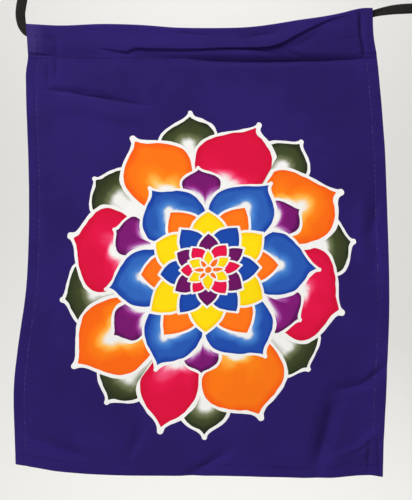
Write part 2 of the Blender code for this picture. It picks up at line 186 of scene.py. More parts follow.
# The seam draws the cloth in, more towards the right, where the casing also sags over it, and its
# stitches pucker it.
SEAM_DRAW = listed(
    Station, (0.0, 0.6), (0.07, 0.2), (0.30, 0.1), (0.46, 1.1), (0.55, 2.0), (0.90, 1.8), (1.0, 0.7),
)
SAG_STRENGTH = listed(
    Station, (0.34, 0.0), (0.46, 0.35), (0.56, 1.0), (0.72, 1.0), (0.90, 0.7), (0.97, 0.2),
)
SAG_RISE = 1.3 * MM
SAG_HANG = 2.8 * MM
SAG_HEIGHT = 6.5 * MM
SAG_TURN = 4 * MM
SEAM_ROWS_NEAR = 1.0 * MM
SEAM_DRAW_ABOVE = 3.5 * MM
SEAM_DRAW_BELOW = 8.5 * MM
SEAM_PUCKER = 0.22 * MM
SEAM_PUCKER_REACH = 9 * MM
SEAM_PUCKER_SPAN = 5 * MM
SEAM_PUCKER_SQUEEZE = 0.3
SWAY_FROM = 0.35
Flute = namedtuple("Flute", "centre_mm width_mm rise_mm")
FLUTES = listed(Flute, (-128, 60, 2.0), (-62, 90, -1.6), (8, 110, 1.4), (136, 54, 1.8))
# The softest unevenness, which no ironing takes out. Each kind of it has a noise layer of its own.
Ripple = namedtuple("Ripple", "span_mm rise_mm")
RIPPLES = listed(Ripple, (42, 0.60), (18, 0.30), (8, 0.09))
CASING_RIPPLE_SHARE = 0.5
SEAM_LAYER, SIDE_HEM_LAYER, BOTTOM_HEM_LAYER, CASING_LAYER = 4, 5, 6, 8
LAYERS_APART = 7.3
HEM_GROOVE = 0.30 * MM
HEM_GROOVE_WIDTH = 3.2 * MM
HEM_PUCKER = 0.26 * MM
HEM_PUCKER_SPAN = 9 * MM
HEM_PUCKER_SQUEEZE = 0.25
STITCH_INSET = 8.0 * MM
HEM_SWELL_AT = 0.6 * STITCH_INSET

# How finely the sheet is drawn: more finely along the hems and wherever creases gather.
BORDER = 14 * MM
BORDER_STEP = 1.0 * MM
PANEL_COLUMN_STEP = 1.8 * MM
HEM_STEP_LENGTH = 2.0 * MM
Band = namedtuple("Band", "down_to_mm row_step_mm")
PANEL_BANDS = listed(Band, (72, 1.1), (260, 2.9), (318, 1.9), (342, 1.4))
CASING_SEAM_ROWS, CASING_LOWER_ROWS, CASING_LIP_ROWS, CASING_UPPER_ROWS = 5, 9, 10, 11
CASING_BACK_ROWS = 12
TURN_IN_ROWS = 2
BOTTOM_BORDER_ROWS = 6
FOLD_DISTANCES = [distance * MM for distance in (0.8, 0.35, 0.1, 0.0)]
TOP_FOLD_DISTANCES = [distance * MM for distance in (1.9, 1.2, 0.62, 0.22, 0.0)]
HEM_DISTANCES = list(np.arange(HEM, FOLD_DISTANCES[0] + HEM_STEP_LENGTH / 2, -HEM_STEP_LENGTH))


def smoothstep(x):
    """0 below 0, 1 above 1, and a soft rise between."""
    x = np.clip(x, 0.0, 1.0)
    return x * x * (3 - 2 * x)


def bell(x):
    """1 at 0, and a soft fall to 0 at 1 on either side."""
    return 1 - smoothstep(np.abs(x))


def along_edge(stations, share):
    """A smooth curve through the stations, in metres."""
    places = np.array([station.share for station in stations])
    heights = np.array([station.outward_mm for station in stations]) * MM
    last = len(stations) - 1
    after = np.minimum(np.arange(last + 1) + 1, last)
    before = np.maximum(np.arange(last + 1) - 1, 0)
    slopes = (heights[after] - heights[before]) / (places[after] - places[before])
    share = np.clip(share, places[0], places[-1])
    k = np.clip(np.searchsorted(places, share, side="right") - 1, 0, last - 1)
    span = places[k + 1] - places[k]
    t = (share - places[k]) / span
    rise = smoothstep(t)
    bend = t * (1 - t) * (slopes[k] * (1 - t) - slopes[k + 1] * t) * span
    return heights[k] * (1 - rise) + heights[k + 1] * rise + bend


def top_height(u):
    return along_edge(TOP_EDGE, u)


def bottom_height(u):
    return -FLAG_DROP - along_edge(BOTTOM_EDGE, u)


def across_flag(u, z):
    """Where the point at share u from left to right and height z lies across the hanging flag."""
    top = top_height(u)
    v = (top - z) / (top - bottom_height(u))
    left = -FLAG_WIDTH / 2 - along_edge(LEFT_EDGE, v)
    right = FLAG_WIDTH / 2 + along_edge(RIGHT_EDGE, v)
    return left + (right - left) * u


def fold_rise(x, z, fold):
    """A soft bell across a fold's two runs that dies away at both ends."""
    start, bend, end = (np.array(p) * MM for p in (fold.start, fold.bend, fold.end))
    lengths = np.linalg.norm(bend - start), np.linalg.norm(end - bend)
    nearest, place = np.full_like(x, np.inf), np.zeros_like(x)
    for a, b, before in ((start, bend, 0.0), (bend, end, lengths[0])):
        run = b - a
        t = np.clip(((x - a[0]) * run[0] + (z - a[1]) * run[1]) / run.dot(run), 0, 1)
        distance = np.hypot(x - a[0] - run[0] * t, z - a[1] - run[1] * t)
        closer = distance < nearest
        nearest = np.where(closer, distance, nearest)
        place = np.where(closer, (before + t * np.linalg.norm(run)) / sum(lengths), place)
    ends = smoothstep(np.minimum(place, 1 - place) / FOLD_END_SHARE)
    return fold.rise * MM * bell(nearest / (fold.width * MM / 2)) * ends


def crease_rise(x, z):
    """What the fine creases add to the sheet's rise: soft troughs that die away at both ends."""
    rise = 0.0
    for crease in FINE_CREASES:
        start, end = (np.array(p) * MM for p in (crease.start, crease.end))
        middle, run = (start + end) / 2, (end - start) / 2
        along = ((x - middle[0]) * run[0] + (z - middle[1]) * run[1]) / run.dot(run)
        aside = ((z - middle[1]) * run[0] - (x - middle[0]) * run[1]) / np.linalg.norm(run)
        across = bell(aside / (CREASE_SPREAD * crease.width * MM / 2))
        depth = CREASE_IN_SHEET * crease.rise * MM * across
        rise = rise + depth * np.maximum(1 - along ** 2, 0)
    return rise


def rippled(x, z, span, layer):
    """Smooth noise from -1 to 1 over the face, another for each layer number."""
    points = np.broadcast(x, z)
    values = [noise.noise(Vector((a / span, b / span, layer * LAYERS_APART))) for a, b in points]
    return np.array(values).reshape(points.shape)


def seam_rise(u, x, z):
    """The seam's groove, and the puckers that its stitches raise on both sides of it."""
    away = z + SEAM_DROP
    draw = along_edge(SEAM_DRAW, u) * bell(away / np.where(away > 0, SEAM_DRAW_ABOVE, SEAM_DRAW_BELOW))
    puckers = rippled(x, away * SEAM_PUCKER_SQUEEZE, SEAM_PUCKER_SPAN, SEAM_LAYER)
    return SEAM_PUCKER * bell(away / SEAM_PUCKER_REACH) * puckers - draw


def hem_rise(u, z):
    """The hems' stitched grooves, and the slight swelling between the stitches and the edge."""
    from_side = FLAG_WIDTH * np.minimum(u, 1 - u)
    from_bottom = z - bottom_height(u)
    rise = 0.0
    for distance, along, layer in (
        (from_side, z, SIDE_HEM_LAYER), (from_bottom, FLAG_WIDTH * u, BOTTOM_HEM_LAYER),
    ):
        groove = bell((distance - STITCH_INSET) / (HEM_GROOVE_WIDTH / 2))
        near = bell((distance - HEM_SWELL_AT) / STITCH_INSET)
        pucker = rippled(along, distance * HEM_PUCKER_SQUEEZE, HEM_PUCKER_SPAN, layer)
        rise = rise + HEM_PUCKER * near * pucker - HEM_GROOVE * groove
    return rise


def panel_rise(u, x, z):
    """How far the panel stands towards the viewer from its plane."""
    rise = sum(fold_rise(x, z, fold) for fold in PANEL_FOLDS) + crease_rise(x, z)
    sway = smoothstep((-z / FLAG_DROP - SWAY_FROM) / (1 - SWAY_FROM))
    for flute in FLUTES:
        aside = (x - flute.centre_mm * MM) / (flute.width_mm * MM / 2)
        rise = rise + flute.rise_mm * MM * sway * bell(aside)
    for layer, ripple in enumerate(RIPPLES):
        rise = rise + ripple.rise_mm * MM * rippled(x, z, ripple.span_mm * MM, layer)
    return rise + seam_rise(u, x, z) + hem_rise(u, z)


def lip_shape(u, z):
    """What the lip and the sag add to the casing's front layer: the rise towards the viewer, and how far
    the cloth hangs down over what is below it."""
    above = z - along_edge(LIP_LINE, u)
    lip = along_edge(LIP_STRENGTH, u) / MM
    turned = smoothstep(above / (2 * LIP_EDGE) + 0.5)
    belly = turned * (1 - smoothstep(above / LIP_HEIGHT))
    hollow_height = LIP_RECESS_HEIGHT * np.where(above < 0, 1.0, LIP_RECESS_ABOVE_SHARE)
    hollow = bell((above + LIP_RECESS_HEIGHT / 4) / hollow_height)
    over_seam = z + SEAM_DROP
    sag = along_edge(SAG_STRENGTH, u) / MM
    bulge = sag * smoothstep(over_seam / SAG_TURN) * (1 - smoothstep(over_seam / SAG_HEIGHT - 0.5))
    drop = sag * smoothstep(over_seam / SEAM_ROWS_NEAR) * (1 - smoothstep(over_seam / SAG_HEIGHT))
    rise = lip * (LIP_RISE * belly - LIP_RECESS * hollow * (1 - turned)) + SAG_RISE * bulge
    return rise, lip * LIP_HANG * belly + SAG_HANG * drop


def wrapped(distance, radius):
    """How far a layer stands off the middle of a fold of this radius, as a share, at a distance from
    the fold's edge."""
    return np.sqrt(1 - (1 - np.minimum(distance / radius, 1)) ** 2)


def place_on_sheet(s, z, side, wrap=1.0):
    """A point of the sheet's middle: s is the flat distance from the left fold, below 0 and beyond the
    flag's width in the turned hems; side is -1 on the front layer and 1 on the layer folded behind it."""
    s, z = np.broadcast_arrays(np.asarray(s, float), np.asarray(z, float))
    u = 1 - np.abs(1 - np.abs(s) / FLAG_WIDTH)
    from_side = np.minimum(np.abs(s), np.abs(FLAG_WIDTH - s))
    turned = np.where((s < 0) | (s > FLAG_WIDTH), -1.0, 1.0) * wrapped(from_side, SIDE_FOLD_RADIUS)
    in_hem = 1 - smoothstep((from_side - HEM) / HEM_EASE)
    x = across_flag(u, z)
    casing_share = (z + SEAM_DROP) / (top_height(u) - CASING_HALF + SEAM_DROP)
    opened = smoothstep(casing_share / CASING_FULL_AT)
    stack = LAYER_PITCH * (0.5 + in_hem)
    half = stack * (1 - opened) + CASING_HALF * opened - LAYER_PITCH * in_hem * (1 - turned) / 2
    face = (CLOTH - SOLID_CLOTH) / 2 - panel_rise(u, x, z) * (1 - opened)
    middle = (face + stack) * (1 - opened)
    y = middle + side * half * wrap
    hang = 0.0
    if side < 0:
        in_casing = smoothstep((z + SEAM_DROP) / SEAM_DRAW_ABOVE)
        lip, hang = lip_shape(u, z)
        small = sum(fold_rise(x, z, fold) for fold in CASING_FOLDS) + crease_rise(x, z)
        ripple = RIPPLES[1]
        ripples = rippled(x, z, ripple.span_mm * MM, CASING_LAYER)
        small = small + CASING_RIPPLE_SHARE * ripple.rise_mm * MM * ripples
        y = y - (lip + small * in_casing) * wrap * (z > -SEAM_DROP)
        hang = hang * (z > -SEAM_DROP)
    return np.stack([x, y, z - hang], axis=-1)


def sheet_columns():
    """Flat distances of the sheet's columns from the left fold."""
    border = list(np.arange(FOLD_DISTANCES[0] + BORDER_STEP, BORDER, BORDER_STEP))
    count = round((FLAG_WIDTH - 2 * BORDER) / PANEL_COLUMN_STEP)
    panel = list(np.linspace(BORDER, FLAG_WIDTH - BORDER, count + 1))
    left = [-d for d in HEM_DISTANCES + FOLD_DISTANCES] + FOLD_DISTANCES[-2::-1] + border
    right = [FLAG_WIDTH - d for d in left[::-1]]
    return np.array(left + panel + right)


def sheet_rows(u):
    """The sheet's rows from the cut edge of the bottom hem, round the front, to the cut edge of the
    casing: the height of each along all columns, its side, and its share of the fold's wrap."""
    top, bottom = top_height(u), bottom_height(u)
    rows = [(bottom + d, 1, wrapped(d, BOTTOM_FOLD_RADIUS)) for d in HEM_DISTANCES + FOLD_DISTANCES]
    rows += [(bottom + d, -1, wrapped(d, BOTTOM_FOLD_RADIUS)) for d in FOLD_DISTANCES[-2::-1]]
    heights = []
    above = SEAM_DROP / MM
    for band in PANEL_BANDS:
        count = round((band.down_to_mm - above) / band.row_step_mm)
        heights += list(np.linspace(-above, -band.down_to_mm, count, endpoint=False))
        above = band.down_to_mm
    heights.append(-above)
    for k in range(1, BOTTOM_BORDER_ROWS):
        share = k / BOTTOM_BORDER_ROWS
        rows.append(((bottom + FOLD_DISTANCES[0]) * (1 - share) + heights[-1] * MM * share, -1, 1.0))
    rows += [(np.full_like(u, z * MM), -1, 1.0) for z in heights[::-1]]
    shoulder = top - TOP_FOLD_DISTANCES[0]
    lip = along_edge(LIP_LINE, u)
    near = np.minimum(LIP_ROWS_NEAR, (shoulder - lip) / 3)
    seam = np.full_like(u, -SEAM_DROP)
    stops = (seam, seam + SEAM_ROWS_NEAR, lip - near, lip + near, shoulder)
    counts = (CASING_SEAM_ROWS, CASING_LOWER_ROWS, CASING_LIP_ROWS, CASING_UPPER_ROWS)
    for low, high, count in zip(stops, stops[1:], counts):
        rows += [(low + (high - low) * k / count, -1, 1.0) for k in range(1, count + 1)]
    rows.pop()
    rows += [(top - d, -1, wrapped(d, CASING_HALF)) for d in TOP_FOLD_DISTANCES]
    rows += [(top - d, 1, wrapped(d, CASING_HALF)) for d in TOP_FOLD_DISTANCES[-2::-1]]
    for k in range(1, CASING_BACK_ROWS + 1):
        rows.append((shoulder - (shoulder + SEAM_DROP) * k / CASING_BACK_ROWS, 1, 1.0))
    for k in range(1, TURN_IN_ROWS + 1):
        rows.append((np.full_like(u, -SEAM_DROP - SEAM_TURN_IN * k / TURN_IN_ROWS), 1, 1.0))
    return rows


def unfolded_heights(u, height, side, in_bottom_hem):
    """A row's distances above the bottom fold's line in the flat cut, along all columns."""
    if side < 0:
        return height + FLAG_DROP
    fold = bottom_height(u) if in_bottom_hem else top_height(u)
    return 2 * fold - height + FLAG_DROP


def add_piece(name, mesh, material):
    """Links a mesh as a piece of the hanging that rides on its body."""
    mesh.materials.append(material)
    piece = bpy.data.objects.new(name, mesh)
    bpy.context.scene.collection.objects.link(piece)
    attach(piece, "root")
    return piece


def flag_mesh():
    columns = sheet_columns()
    u = 1 - np.abs(1 - np.abs(columns) / FLAG_WIDTH)
    rows = sheet_rows(u)
    points = [place_on_sheet(columns, height, side, wrap) for height, side, wrap in rows]
    count = len(columns)
    faces = []
    for r in range(len(rows) - 1):
        for c in range(count - 1):
            corner = r * count + c
            faces.append((corner, corner + 1, corner + count + 1, corner + count))
    mesh = bpy.data.meshes.new("batik_flag")
    mesh.from_pydata(np.concatenate(points).tolist(), [], faces)
    mesh.shade_smooth()
    flat_cut = mesh.uv_layers.new(name="flat_cut")
    heights = [unfolded_heights(u, row[0], row[1], r < len(rows) / 2) for r, row in enumerate(rows)]
    for loop in mesh.loops:
        row, column = divmod(loop.vertex_index, count)
        flat_cut.data[loop.index].uv = (columns[column], heights[row][column])
    return mesh


def new_group(name, inputs, outputs):
    """A shader node group with these sockets, its input node and its output node."""
    group = bpy.data.node_groups.new(name, "ShaderNodeTree")
    for socket_name, kind, value in inputs:
        socket = group.interface.new_socket(socket_name, in_out="INPUT", socket_type=f"NodeSocket{kind}")
        if value is not None:
            socket.default_value = value
    for socket_name, kind in outputs:
        group.interface.new_socket(socket_name, in_out="OUTPUT", socket_type=f"NodeSocket{kind}")
    return group, group.nodes.new("NodeGroupInput").outputs, group.nodes.new("NodeGroupOutput").inputs


def feed(tree, socket, value):
    """Links value to the socket where it is a socket, and sets it there otherwise."""
    if isinstance(value, bpy.types.NodeSocket):
        tree.links.new(value, socket)
    else:
        socket.default_value = value


def sums(tree, operation, *values):
    """The output of a Math node on these sockets or numbers."""
    node = tree.nodes.new("ShaderNodeMath")
    node.operation = operation
    for socket, value in zip(node.inputs, values):
        feed(tree, socket, value)
    return node.outputs[0]


def times(tree, a, b):
    return sums(tree, "MULTIPLY", a, b)


def plus(tree, a, b):
    return sums(tree, "ADD", a, b)


def minus(tree, a, b):
    return sums(tree, "SUBTRACT", a, b)


def slant(tree, a, b):
    """The distance that two distances at right angles make."""
    return sums(tree, "SQRT", plus(tree, times(tree, a, a), times(tree, b, b)))


def share_of(tree, value):
    """The value, held between 0 and 1."""
    return sums(tree, "MINIMUM", sums(tree, "MAXIMUM", value, 0.0), 1.0)


def vector_node(tree, operation, *values):
    """A Vector Math node on these sockets or vectors."""
    node = tree.nodes.new("ShaderNodeVectorMath")
    node.operation = operation
    for socket, value in zip(node.inputs, values):
        feed(tree, socket, value)
    return node


def vector_sums(tree, operation, *values):
    return vector_node(tree, operation, *values).outputs["Vector"]


def measured(tree, operation, *values):
    """The number that a Vector Math node makes of its vectors."""
    return vector_node(tree, operation, *values).outputs["Value"]


def scaled(tree, vector, factor):
    node = vector_node(tree, "SCALE", vector)
    feed(tree, node.inputs["Scale"], factor)
    return node.outputs["Vector"]


def ramp(tree, value, low, high, at_low=0.0, at_high=1.0):
    """A soft step from at_low to at_high as value goes from low to high."""
    node = tree.nodes.new("ShaderNodeMapRange")
    node.interpolation_type = "SMOOTHSTEP"
    for socket, number in zip(node.inputs, (value, low, high, at_low, at_high)):
        feed(tree, socket, number)
    return node.outputs[0]


def blended(tree, share, a, b, blend="MIX"):
    """Colour a where share is 0 and colour b where it is 1."""
    node = tree.nodes.new("ShaderNodeMix")
    node.data_type = "RGBA"
    node.blend_type = blend
    for socket, value in zip((node.inputs[0], node.inputs[6], node.inputs[7]), (share, a, b)):
        feed(tree, socket, value)
    return node.outputs[2]


def noise_at(tree, place, scale, detail=1.0, roughness=0.5):
    """A noise texture's value and colour."""
    node = tree.nodes.new("ShaderNodeTexNoise")
    for name, value in (("Vector", place), ("Scale", scale), ("Detail", detail), ("Roughness", roughness)):
        feed(tree, node.inputs[name], value)
    return node.outputs[0], node.outputs[1]


def use_group(tree, group, **values):
    """A group node, fed by socket name with spaces as underscores."""
    node = tree.nodes.new("ShaderNodeGroup")
    node.node_tree = group
    for name, value in values.items():
        feed(tree, node.inputs[name.replace("_", " ")], value)
    return node.outputs


SWAY_SCALE = 26.0
SHAKE_SCALE = 150.0


def make_hand_waver():
    """The unsteadiness of a hand-drawn line: a slow sway and a fine shake of the place."""
    group, given, result = new_group(
        "hand_waver",
        (("Place", "Vector", None), ("Sway", "Float", 1 * MM), ("Shake", "Float", 0.3 * MM)),
        (("Place", "Vector"),),
    )
    place = given["Place"]
    for scale, amount in ((SWAY_SCALE, given["Sway"]), (SHAKE_SCALE, given["Shake"])):
        _, colour = noise_at(group, given["Place"], scale)
        shift = scaled(group, vector_sums(group, "SUBTRACT", colour, (0.5, 0.5, 0.5)), amount)
        place = vector_sums(group, "ADD", place, shift)
    feed(group, result["Place"], vector_sums(group, "MULTIPLY", place, (1, 1, 0)))
    return group


# Half widths along a petal, from its base at 0 to its tip at 1.
LEAF_PROFILE = (
    (0.0, 0.78), (0.18, 0.93), (0.36, 1.0), (0.56, 0.88), (0.75, 0.60), (0.9, 0.29), (1.0, 0.0),
)
OGEE_PROFILE = (
    (0.0, 0.36), (0.15, 0.56), (0.3, 0.77), (0.42, 0.92), (0.53, 0.99), (0.61, 1.0), (0.69, 0.95),
    (0.76, 0.83), (0.82, 0.65), (0.87, 0.44), (0.91, 0.24), (0.95, 0.10), (1.0, 0.0),
)


def make_petal_width():
    """A petal's half width, as a share of the widest, at a share of its length."""
    group, given, result = new_group(
        "petal_width", (("Along", "Float", 0.5), ("Ogee", "Float", 0.0)), (("Width", "Float"),))
    widths = []
    for profile in (LEAF_PROFILE, OGEE_PROFILE):
        node = group.nodes.new("ShaderNodeFloatCurve")
        curve = node.mapping.curves[0]
        curve.points[0].location, curve.points[1].location = profile[0], profile[-1]
        for along, width in profile[1:-1]:
            curve.points.new(along, width)
        node.mapping.update()
        feed(group, node.inputs["Value"], given["Along"])
        widths.append(node.outputs["Value"])
    more = times(group, minus(group, widths[1], widths[0]), given["Ogee"])
    feed(group, result["Width"], plus(group, widths[0], more))
    return group


# A petal's own place in its ring: where its room starts, its midline runs and its tip points, in degrees,
# and its reach and half width in millimetres.
Petal = namedtuple("Petal", "start midline tip reach half")
# The rooms start on a step of the colour ramp that holds them, and their stops stand just before it.
ROOM_STEPS = 255
JUST_BEFORE = 0.0003
GREATEST_REACH = 200 * MM
GREATEST_HALF = 100 * MM
FAR_ASIDE = 4 * MM
LATE_BEND = 4.0
NUDGE = 0.01


def room_table(group, turns, rows):
    """Four numbers that stay the same through each petal's room, looked up by the turn."""
    node = group.nodes.new("ShaderNodeValToRGB")
    table = node.color_ramp
    table.interpolation = "CONSTANT"
    rows = [(0.0, rows[-1][1])] + list(rows)
    for _ in range(len(rows) - 2):
        table.elements.new(0.5)
    for element, (start, numbers) in zip(table.elements, rows):
        element.position = start
        element.color = numbers
    feed(group, node.inputs[0], turns)
    parts = group.nodes.new("ShaderNodeSeparateColor")
    feed(group, parts.inputs[0], node.outputs["Color"])
    return (*parts.outputs, node.outputs["Alpha"])


def lay_petals(group, petals, turns):
    """Petals each with its own room, midline, reach and width, and a tip that leans off the midline."""
    starts = [math.floor(petal.start / 360 * ROOM_STEPS + 0.5) / ROOM_STEPS for petal in petals]
    rooms, shapes = [], []
    for k, (petal, start, end) in enumerate(zip(petals, starts, starts[1:] + [starts[0] + 1])):
        midline = petal.midline / 360
        lean = petal.reach * MM * math.sin(math.radians(petal.tip - petal.midline))
        reach, half = petal.reach * MM / GREATEST_REACH, petal.half * MM / GREATEST_HALF
        rooms.append((start - JUST_BEFORE, (midline % 1, midline - start, end - midline, k % 2)))
        shapes.append((start - JUST_BEFORE, (reach, half, 0.5 + lean / GREATEST_HALF, 1)))
    midline, before, after, odd = room_table(group, turns, rooms)
    reach, half, lean, _ = room_table(group, turns, shapes)
    off = minus(group, turns, midline)
    off = minus(group, off, sums(group, "ROUND", off))
    room = sums(group, "MINIMUM", plus(group, off, before), minus(group, after, off))
    chance = group.nodes.new("ShaderNodeTexWhiteNoise")
    chance.noise_dimensions = "1D"
    feed(group, chance.inputs["W"], midline)
    tip = times(group, reach, GREATEST_REACH)
    widest = times(group, half, GREATEST_HALF)
    leaning = sums(group, "MULTIPLY_ADD", lean, GREATEST_HALF, -0.5 * GREATEST_HALF)
    turned, room = (times(group, value, 2 * math.pi) for value in (off, room))
    return turned, room, tip, widest, leaning, chance.outputs["Value"], odd


def make_petal_ring(petal_width, petals):
    """One ring of petals about the origin. It puts out each petal's edge distance, negative inside, how
    far off its tip, past its tip and off its midline a place is, a chance, and whether it is an odd one."""
    group, given, result = new_group(
        "petal_ring",
        (("Place", "Vector", None), ("Base radius", "Float", 0.05), ("Ogee", "Float", 0.0)),
        (("Edge", "Float"), ("Tip", "Float"), ("Past tip", "Float"), ("Across", "Float"),
         ("Brush", "Vector"), ("Chance", "Float"), ("Odd", "Float")),
    )
    parts = group.nodes.new("ShaderNodeSeparateXYZ")
    feed(group, parts.inputs[0], given["Place"])
    radius = measured(group, "LENGTH", given["Place"])
    angle = sums(group, "ARCTAN2", parts.outputs[1], parts.outputs[0])
    turns = sums(group, "FRACT", sums(group, "DIVIDE", angle, 2 * math.pi))
    turned, room, tip, widest, leaning, chance, odd = lay_petals(group, petals, turns)

    long = minus(group, tip, given["Base radius"])
    up = times(group, radius, sums(group, "COSINE", turned))
    sideways = times(group, radius, sums(group, "SINE", turned))
    along = share_of(group, sums(group, "DIVIDE", minus(group, up, given["Base radius"]), long))
    bend = times(group, leaning, sums(group, "POWER", along, LATE_BEND))
    across = sums(group, "ABSOLUTE", minus(group, sideways, bend))

    widths = [
        use_group(group, petal_width, Along=plus(group, along, shift), Ogee=given["Ogee"])["Width"]
        for shift in (-NUDGE, NUDGE)
    ]
    fall = times(group, minus(group, *widths), widest)
    mean_width = times(group, plus(group, *widths), 0.5)
    slope = sums(group, "DIVIDE", fall, times(group, long, 2 * NUDGE))
    slanted = sums(group, "SQRT", sums(group, "MULTIPLY_ADD", slope, slope, 1.0))
    steeper = minus(group, slanted, 1.0)
    aside = minus(group, across, times(group, mean_width, widest))
    away = sums(group, "MULTIPLY_ADD", sums(group, "MAXIMUM", aside, 0.0), 1 / FAR_ASIDE, 1.0)
    steepness = plus(group, sums(group, "DIVIDE", steeper, away), 1.0)
    aside = sums(group, "DIVIDE", aside, steepness)
    to_tip = minus(group, up, tip)
    beyond = sums(group, "MAXIMUM", to_tip, 0.0)
    far = slant(group, aside, beyond)
    edge = plus(group, aside, minus(group, far, sums(group, "ABSOLUTE", aside)))
    border = times(group, radius, sums(group, "SINE", room))
    edge = sums(group, "MAXIMUM", edge, times(group, border, -1.0))

    off_tip = minus(group, sideways, leaning)
    tip_distance = slant(group, to_tip, off_tip)
    brush = group.nodes.new("ShaderNodeCombineXYZ")
    for socket, value in zip(brush.inputs, (up, sideways, chance)):
        feed(group, socket, value)
    for name, value in (("Edge", edge), ("Tip", tip_distance), ("Past tip", to_tip), ("Across", across),
                        ("Brush", brush.outputs[0]), ("Chance", chance), ("Odd", odd)):
        feed(group, result[name], value)
    return group


EDGE_SOFTNESS = 0.14 * MM
BLOB_SPREAD = 3.2


def make_waxed_ring():
    """Lays a ring's dye over what lies under it, with the wax line that kept the dye out along each
    petal's edge, thicker at the tip."""
    group, given, result = new_group(
        "waxed_ring",
        (("Under", "Color", None), ("Dyed", "Color", None), ("Edge", "Float", 0.0), ("Tip", "Float", 1.0),
         ("Half line", "Float", 1 * MM), ("Wax blob", "Float", 1 * MM), ("Wax", "Color", None)),
        (("Colour", "Color"),),
    )
    inside = ramp(group, given["Edge"], -EDGE_SOFTNESS, EDGE_SOFTNESS, 1.0, 0.0)
    colour = blended(group, inside, given["Under"], given["Dyed"])
    blob_reach = times(group, given["Wax blob"], BLOB_SPREAD)
    near_tip = ramp(group, given["Tip"], 0.0, blob_reach, 1.0, 0.0)
    thicker = times(group, near_tip, given["Wax blob"])
    off_edge = sums(group, "ABSOLUTE", given["Edge"])
    from_line = minus(group, off_edge, plus(group, given["Half line"], thicker))
    waxed = ramp(group, from_line, -EDGE_SOFTNESS, EDGE_SOFTNESS, 1.0, 0.0)
    feed(group, result["Colour"], blended(group, waxed, colour, given["Wax"]))
    return group


# How finely the brush's streaks, the mottling of the wet dye, and the drag of the wax pen vary.
STREAKS = (50, 210, 31)
MOTTLES = (45, 80, 47)
WAX_DRAG = 130.0
RIM_FROM = 0.2 * MM
RIM_UNEVEN = 7 * MM
POOL_WIDTH = 0.9 * MM
# Over which shares of the bare cotton's reach the cotton, then the tint, and then the plain dye give way.
COTTON_FADES = 0.3, 1.15
TINT_FADES = 0.75, 1.9
DYE_DEEPENS = 1.2, 3.2


def make_brushed_petals(waxed_ring):
    """Large petals, whose dye was brushed out from the middle of the base, where the cotton stays bare,
    and deepens to the rim."""
    group, given, result = new_group(
        "brushed_petals",
        (("Under", "Color", None), ("Brush", "Vector", None), ("Edge", "Float", 0.0), ("Tip", "Float", 1.0),
         ("Across", "Float", 0.0), ("Chance", "Float", 0.5), ("Inner edge", "Float", 0.0),
         ("Dye", "Color", None), ("Tint", "Color", None), ("Rim", "Color", None),
         ("Rim depth", "Float", 6 * MM), ("Deepened", "Float", 0.6), ("White reach", "Float", 8 * MM),
         ("White width", "Float", 12 * MM), ("Wax line", "Float", 2 * MM), ("Wax blob", "Float", 1 * MM),
         ("Wax", "Color", None)),
        (("Colour", "Color"),),
    )
    place = vector_sums(group, "MULTIPLY", given["Brush"], STREAKS)
    streaks, _ = noise_at(group, place, 1.0, detail=2.0, roughness=0.6)
    place = vector_sums(group, "MULTIPLY", given["Brush"], MOTTLES)
    mottle, _ = noise_at(group, place, 1.0)
    drag, _ = noise_at(group, given["Brush"], WAX_DRAG, detail=0.0)
    half_line = times(group, given["Wax line"], sums(group, "MULTIPLY_ADD", drag, 0.5, 0.25))

    by_chance = sums(group, "MULTIPLY_ADD", given["Chance"], 0.6, 0.7)
    size = times(group, by_chance, given["White width"])
    out = sums(group, "DIVIDE", minus(group, given["Inner edge"], half_line), given["White reach"])
    aside = sums(group, "DIVIDE", given["Across"], size)
    faded = slant(group, out, aside)
    faded = plus(group, faded, sums(group, "MULTIPLY_ADD", streaks, 0.5, -0.25))
    faded = plus(group, faded, sums(group, "MULTIPLY_ADD", mottle, 0.5, -0.25))

    inside = times(group, given["Edge"], -1.0)
    uneven = sums(group, "MULTIPLY_ADD", mottle, RIM_UNEVEN, -RIM_UNEVEN / 2)
    at_rim = ramp(group, plus(group, inside, uneven), RIM_FROM, given["Rim depth"], 1.0, 0.0)
    by_chance = sums(group, "MULTIPLY_ADD", given["Chance"], 0.8, 0.6)
    deepened = times(group, by_chance, given["Deepened"])
    far_off = times(group, ramp(group, faded, *DYE_DEEPENS), deepened)
    dyed = blended(group, sums(group, "MAXIMUM", at_rim, far_off), given["Dye"], given["Rim"])
    dyed = blended(group, ramp(group, faded, *TINT_FADES, 0.9, 0.0), dyed, given["Tint"])
    pooled = ramp(group, minus(group, inside, half_line), 0.0, POOL_WIDTH, 0.5, 0.0)
    dyed = blended(group, pooled, dyed, given["Rim"])
    dyed = blended(group, ramp(group, faded, *COTTON_FADES, 1.0, 0.0), dyed, given["Wax"])
    waxed = use_group(
        group, waxed_ring, Under=given["Under"], Dyed=dyed, Edge=given["Edge"], Tip=given["Tip"],
        Half_line=half_line, Wax_blob=given["Wax blob"], Wax=given["Wax"])
    feed(group, result["Colour"], waxed["Colour"])
    return group


def make_plain_petals(waxed_ring):
    """Small petals, filled with a single touch of dye that pools at the rim."""
    group, given, result = new_group(
        "plain_petals",
        (("Under", "Color", None), ("Edge", "Float", 0.0), ("Tip", "Float", 1.0), ("Dye", "Color", None),
         ("Rim", "Color", None), ("Rim depth", "Float", 4 * MM), ("Wax line", "Float", 2 * MM),
         ("Wax blob", "Float", 1 * MM), ("Wax", "Color", None)),
        (("Colour", "Color"),),
    )
    half_line = times(group, given["Wax line"], 0.5)
    inside = minus(group, times(group, given["Edge"], -1.0), half_line)
    pooled = ramp(group, inside, 0.0, given["Rim depth"], 0.9, 0.0)
    dyed = blended(group, pooled, given["Dye"], given["Rim"])
    waxed = use_group(
        group, waxed_ring, Under=given["Under"], Dyed=dyed, Edge=given["Edge"], Tip=given["Tip"],
        Half_line=half_line, Wax_blob=given["Wax blob"], Wax=given["Wax"])
    feed(group, result["Colour"], waxed["Colour"])
    return group


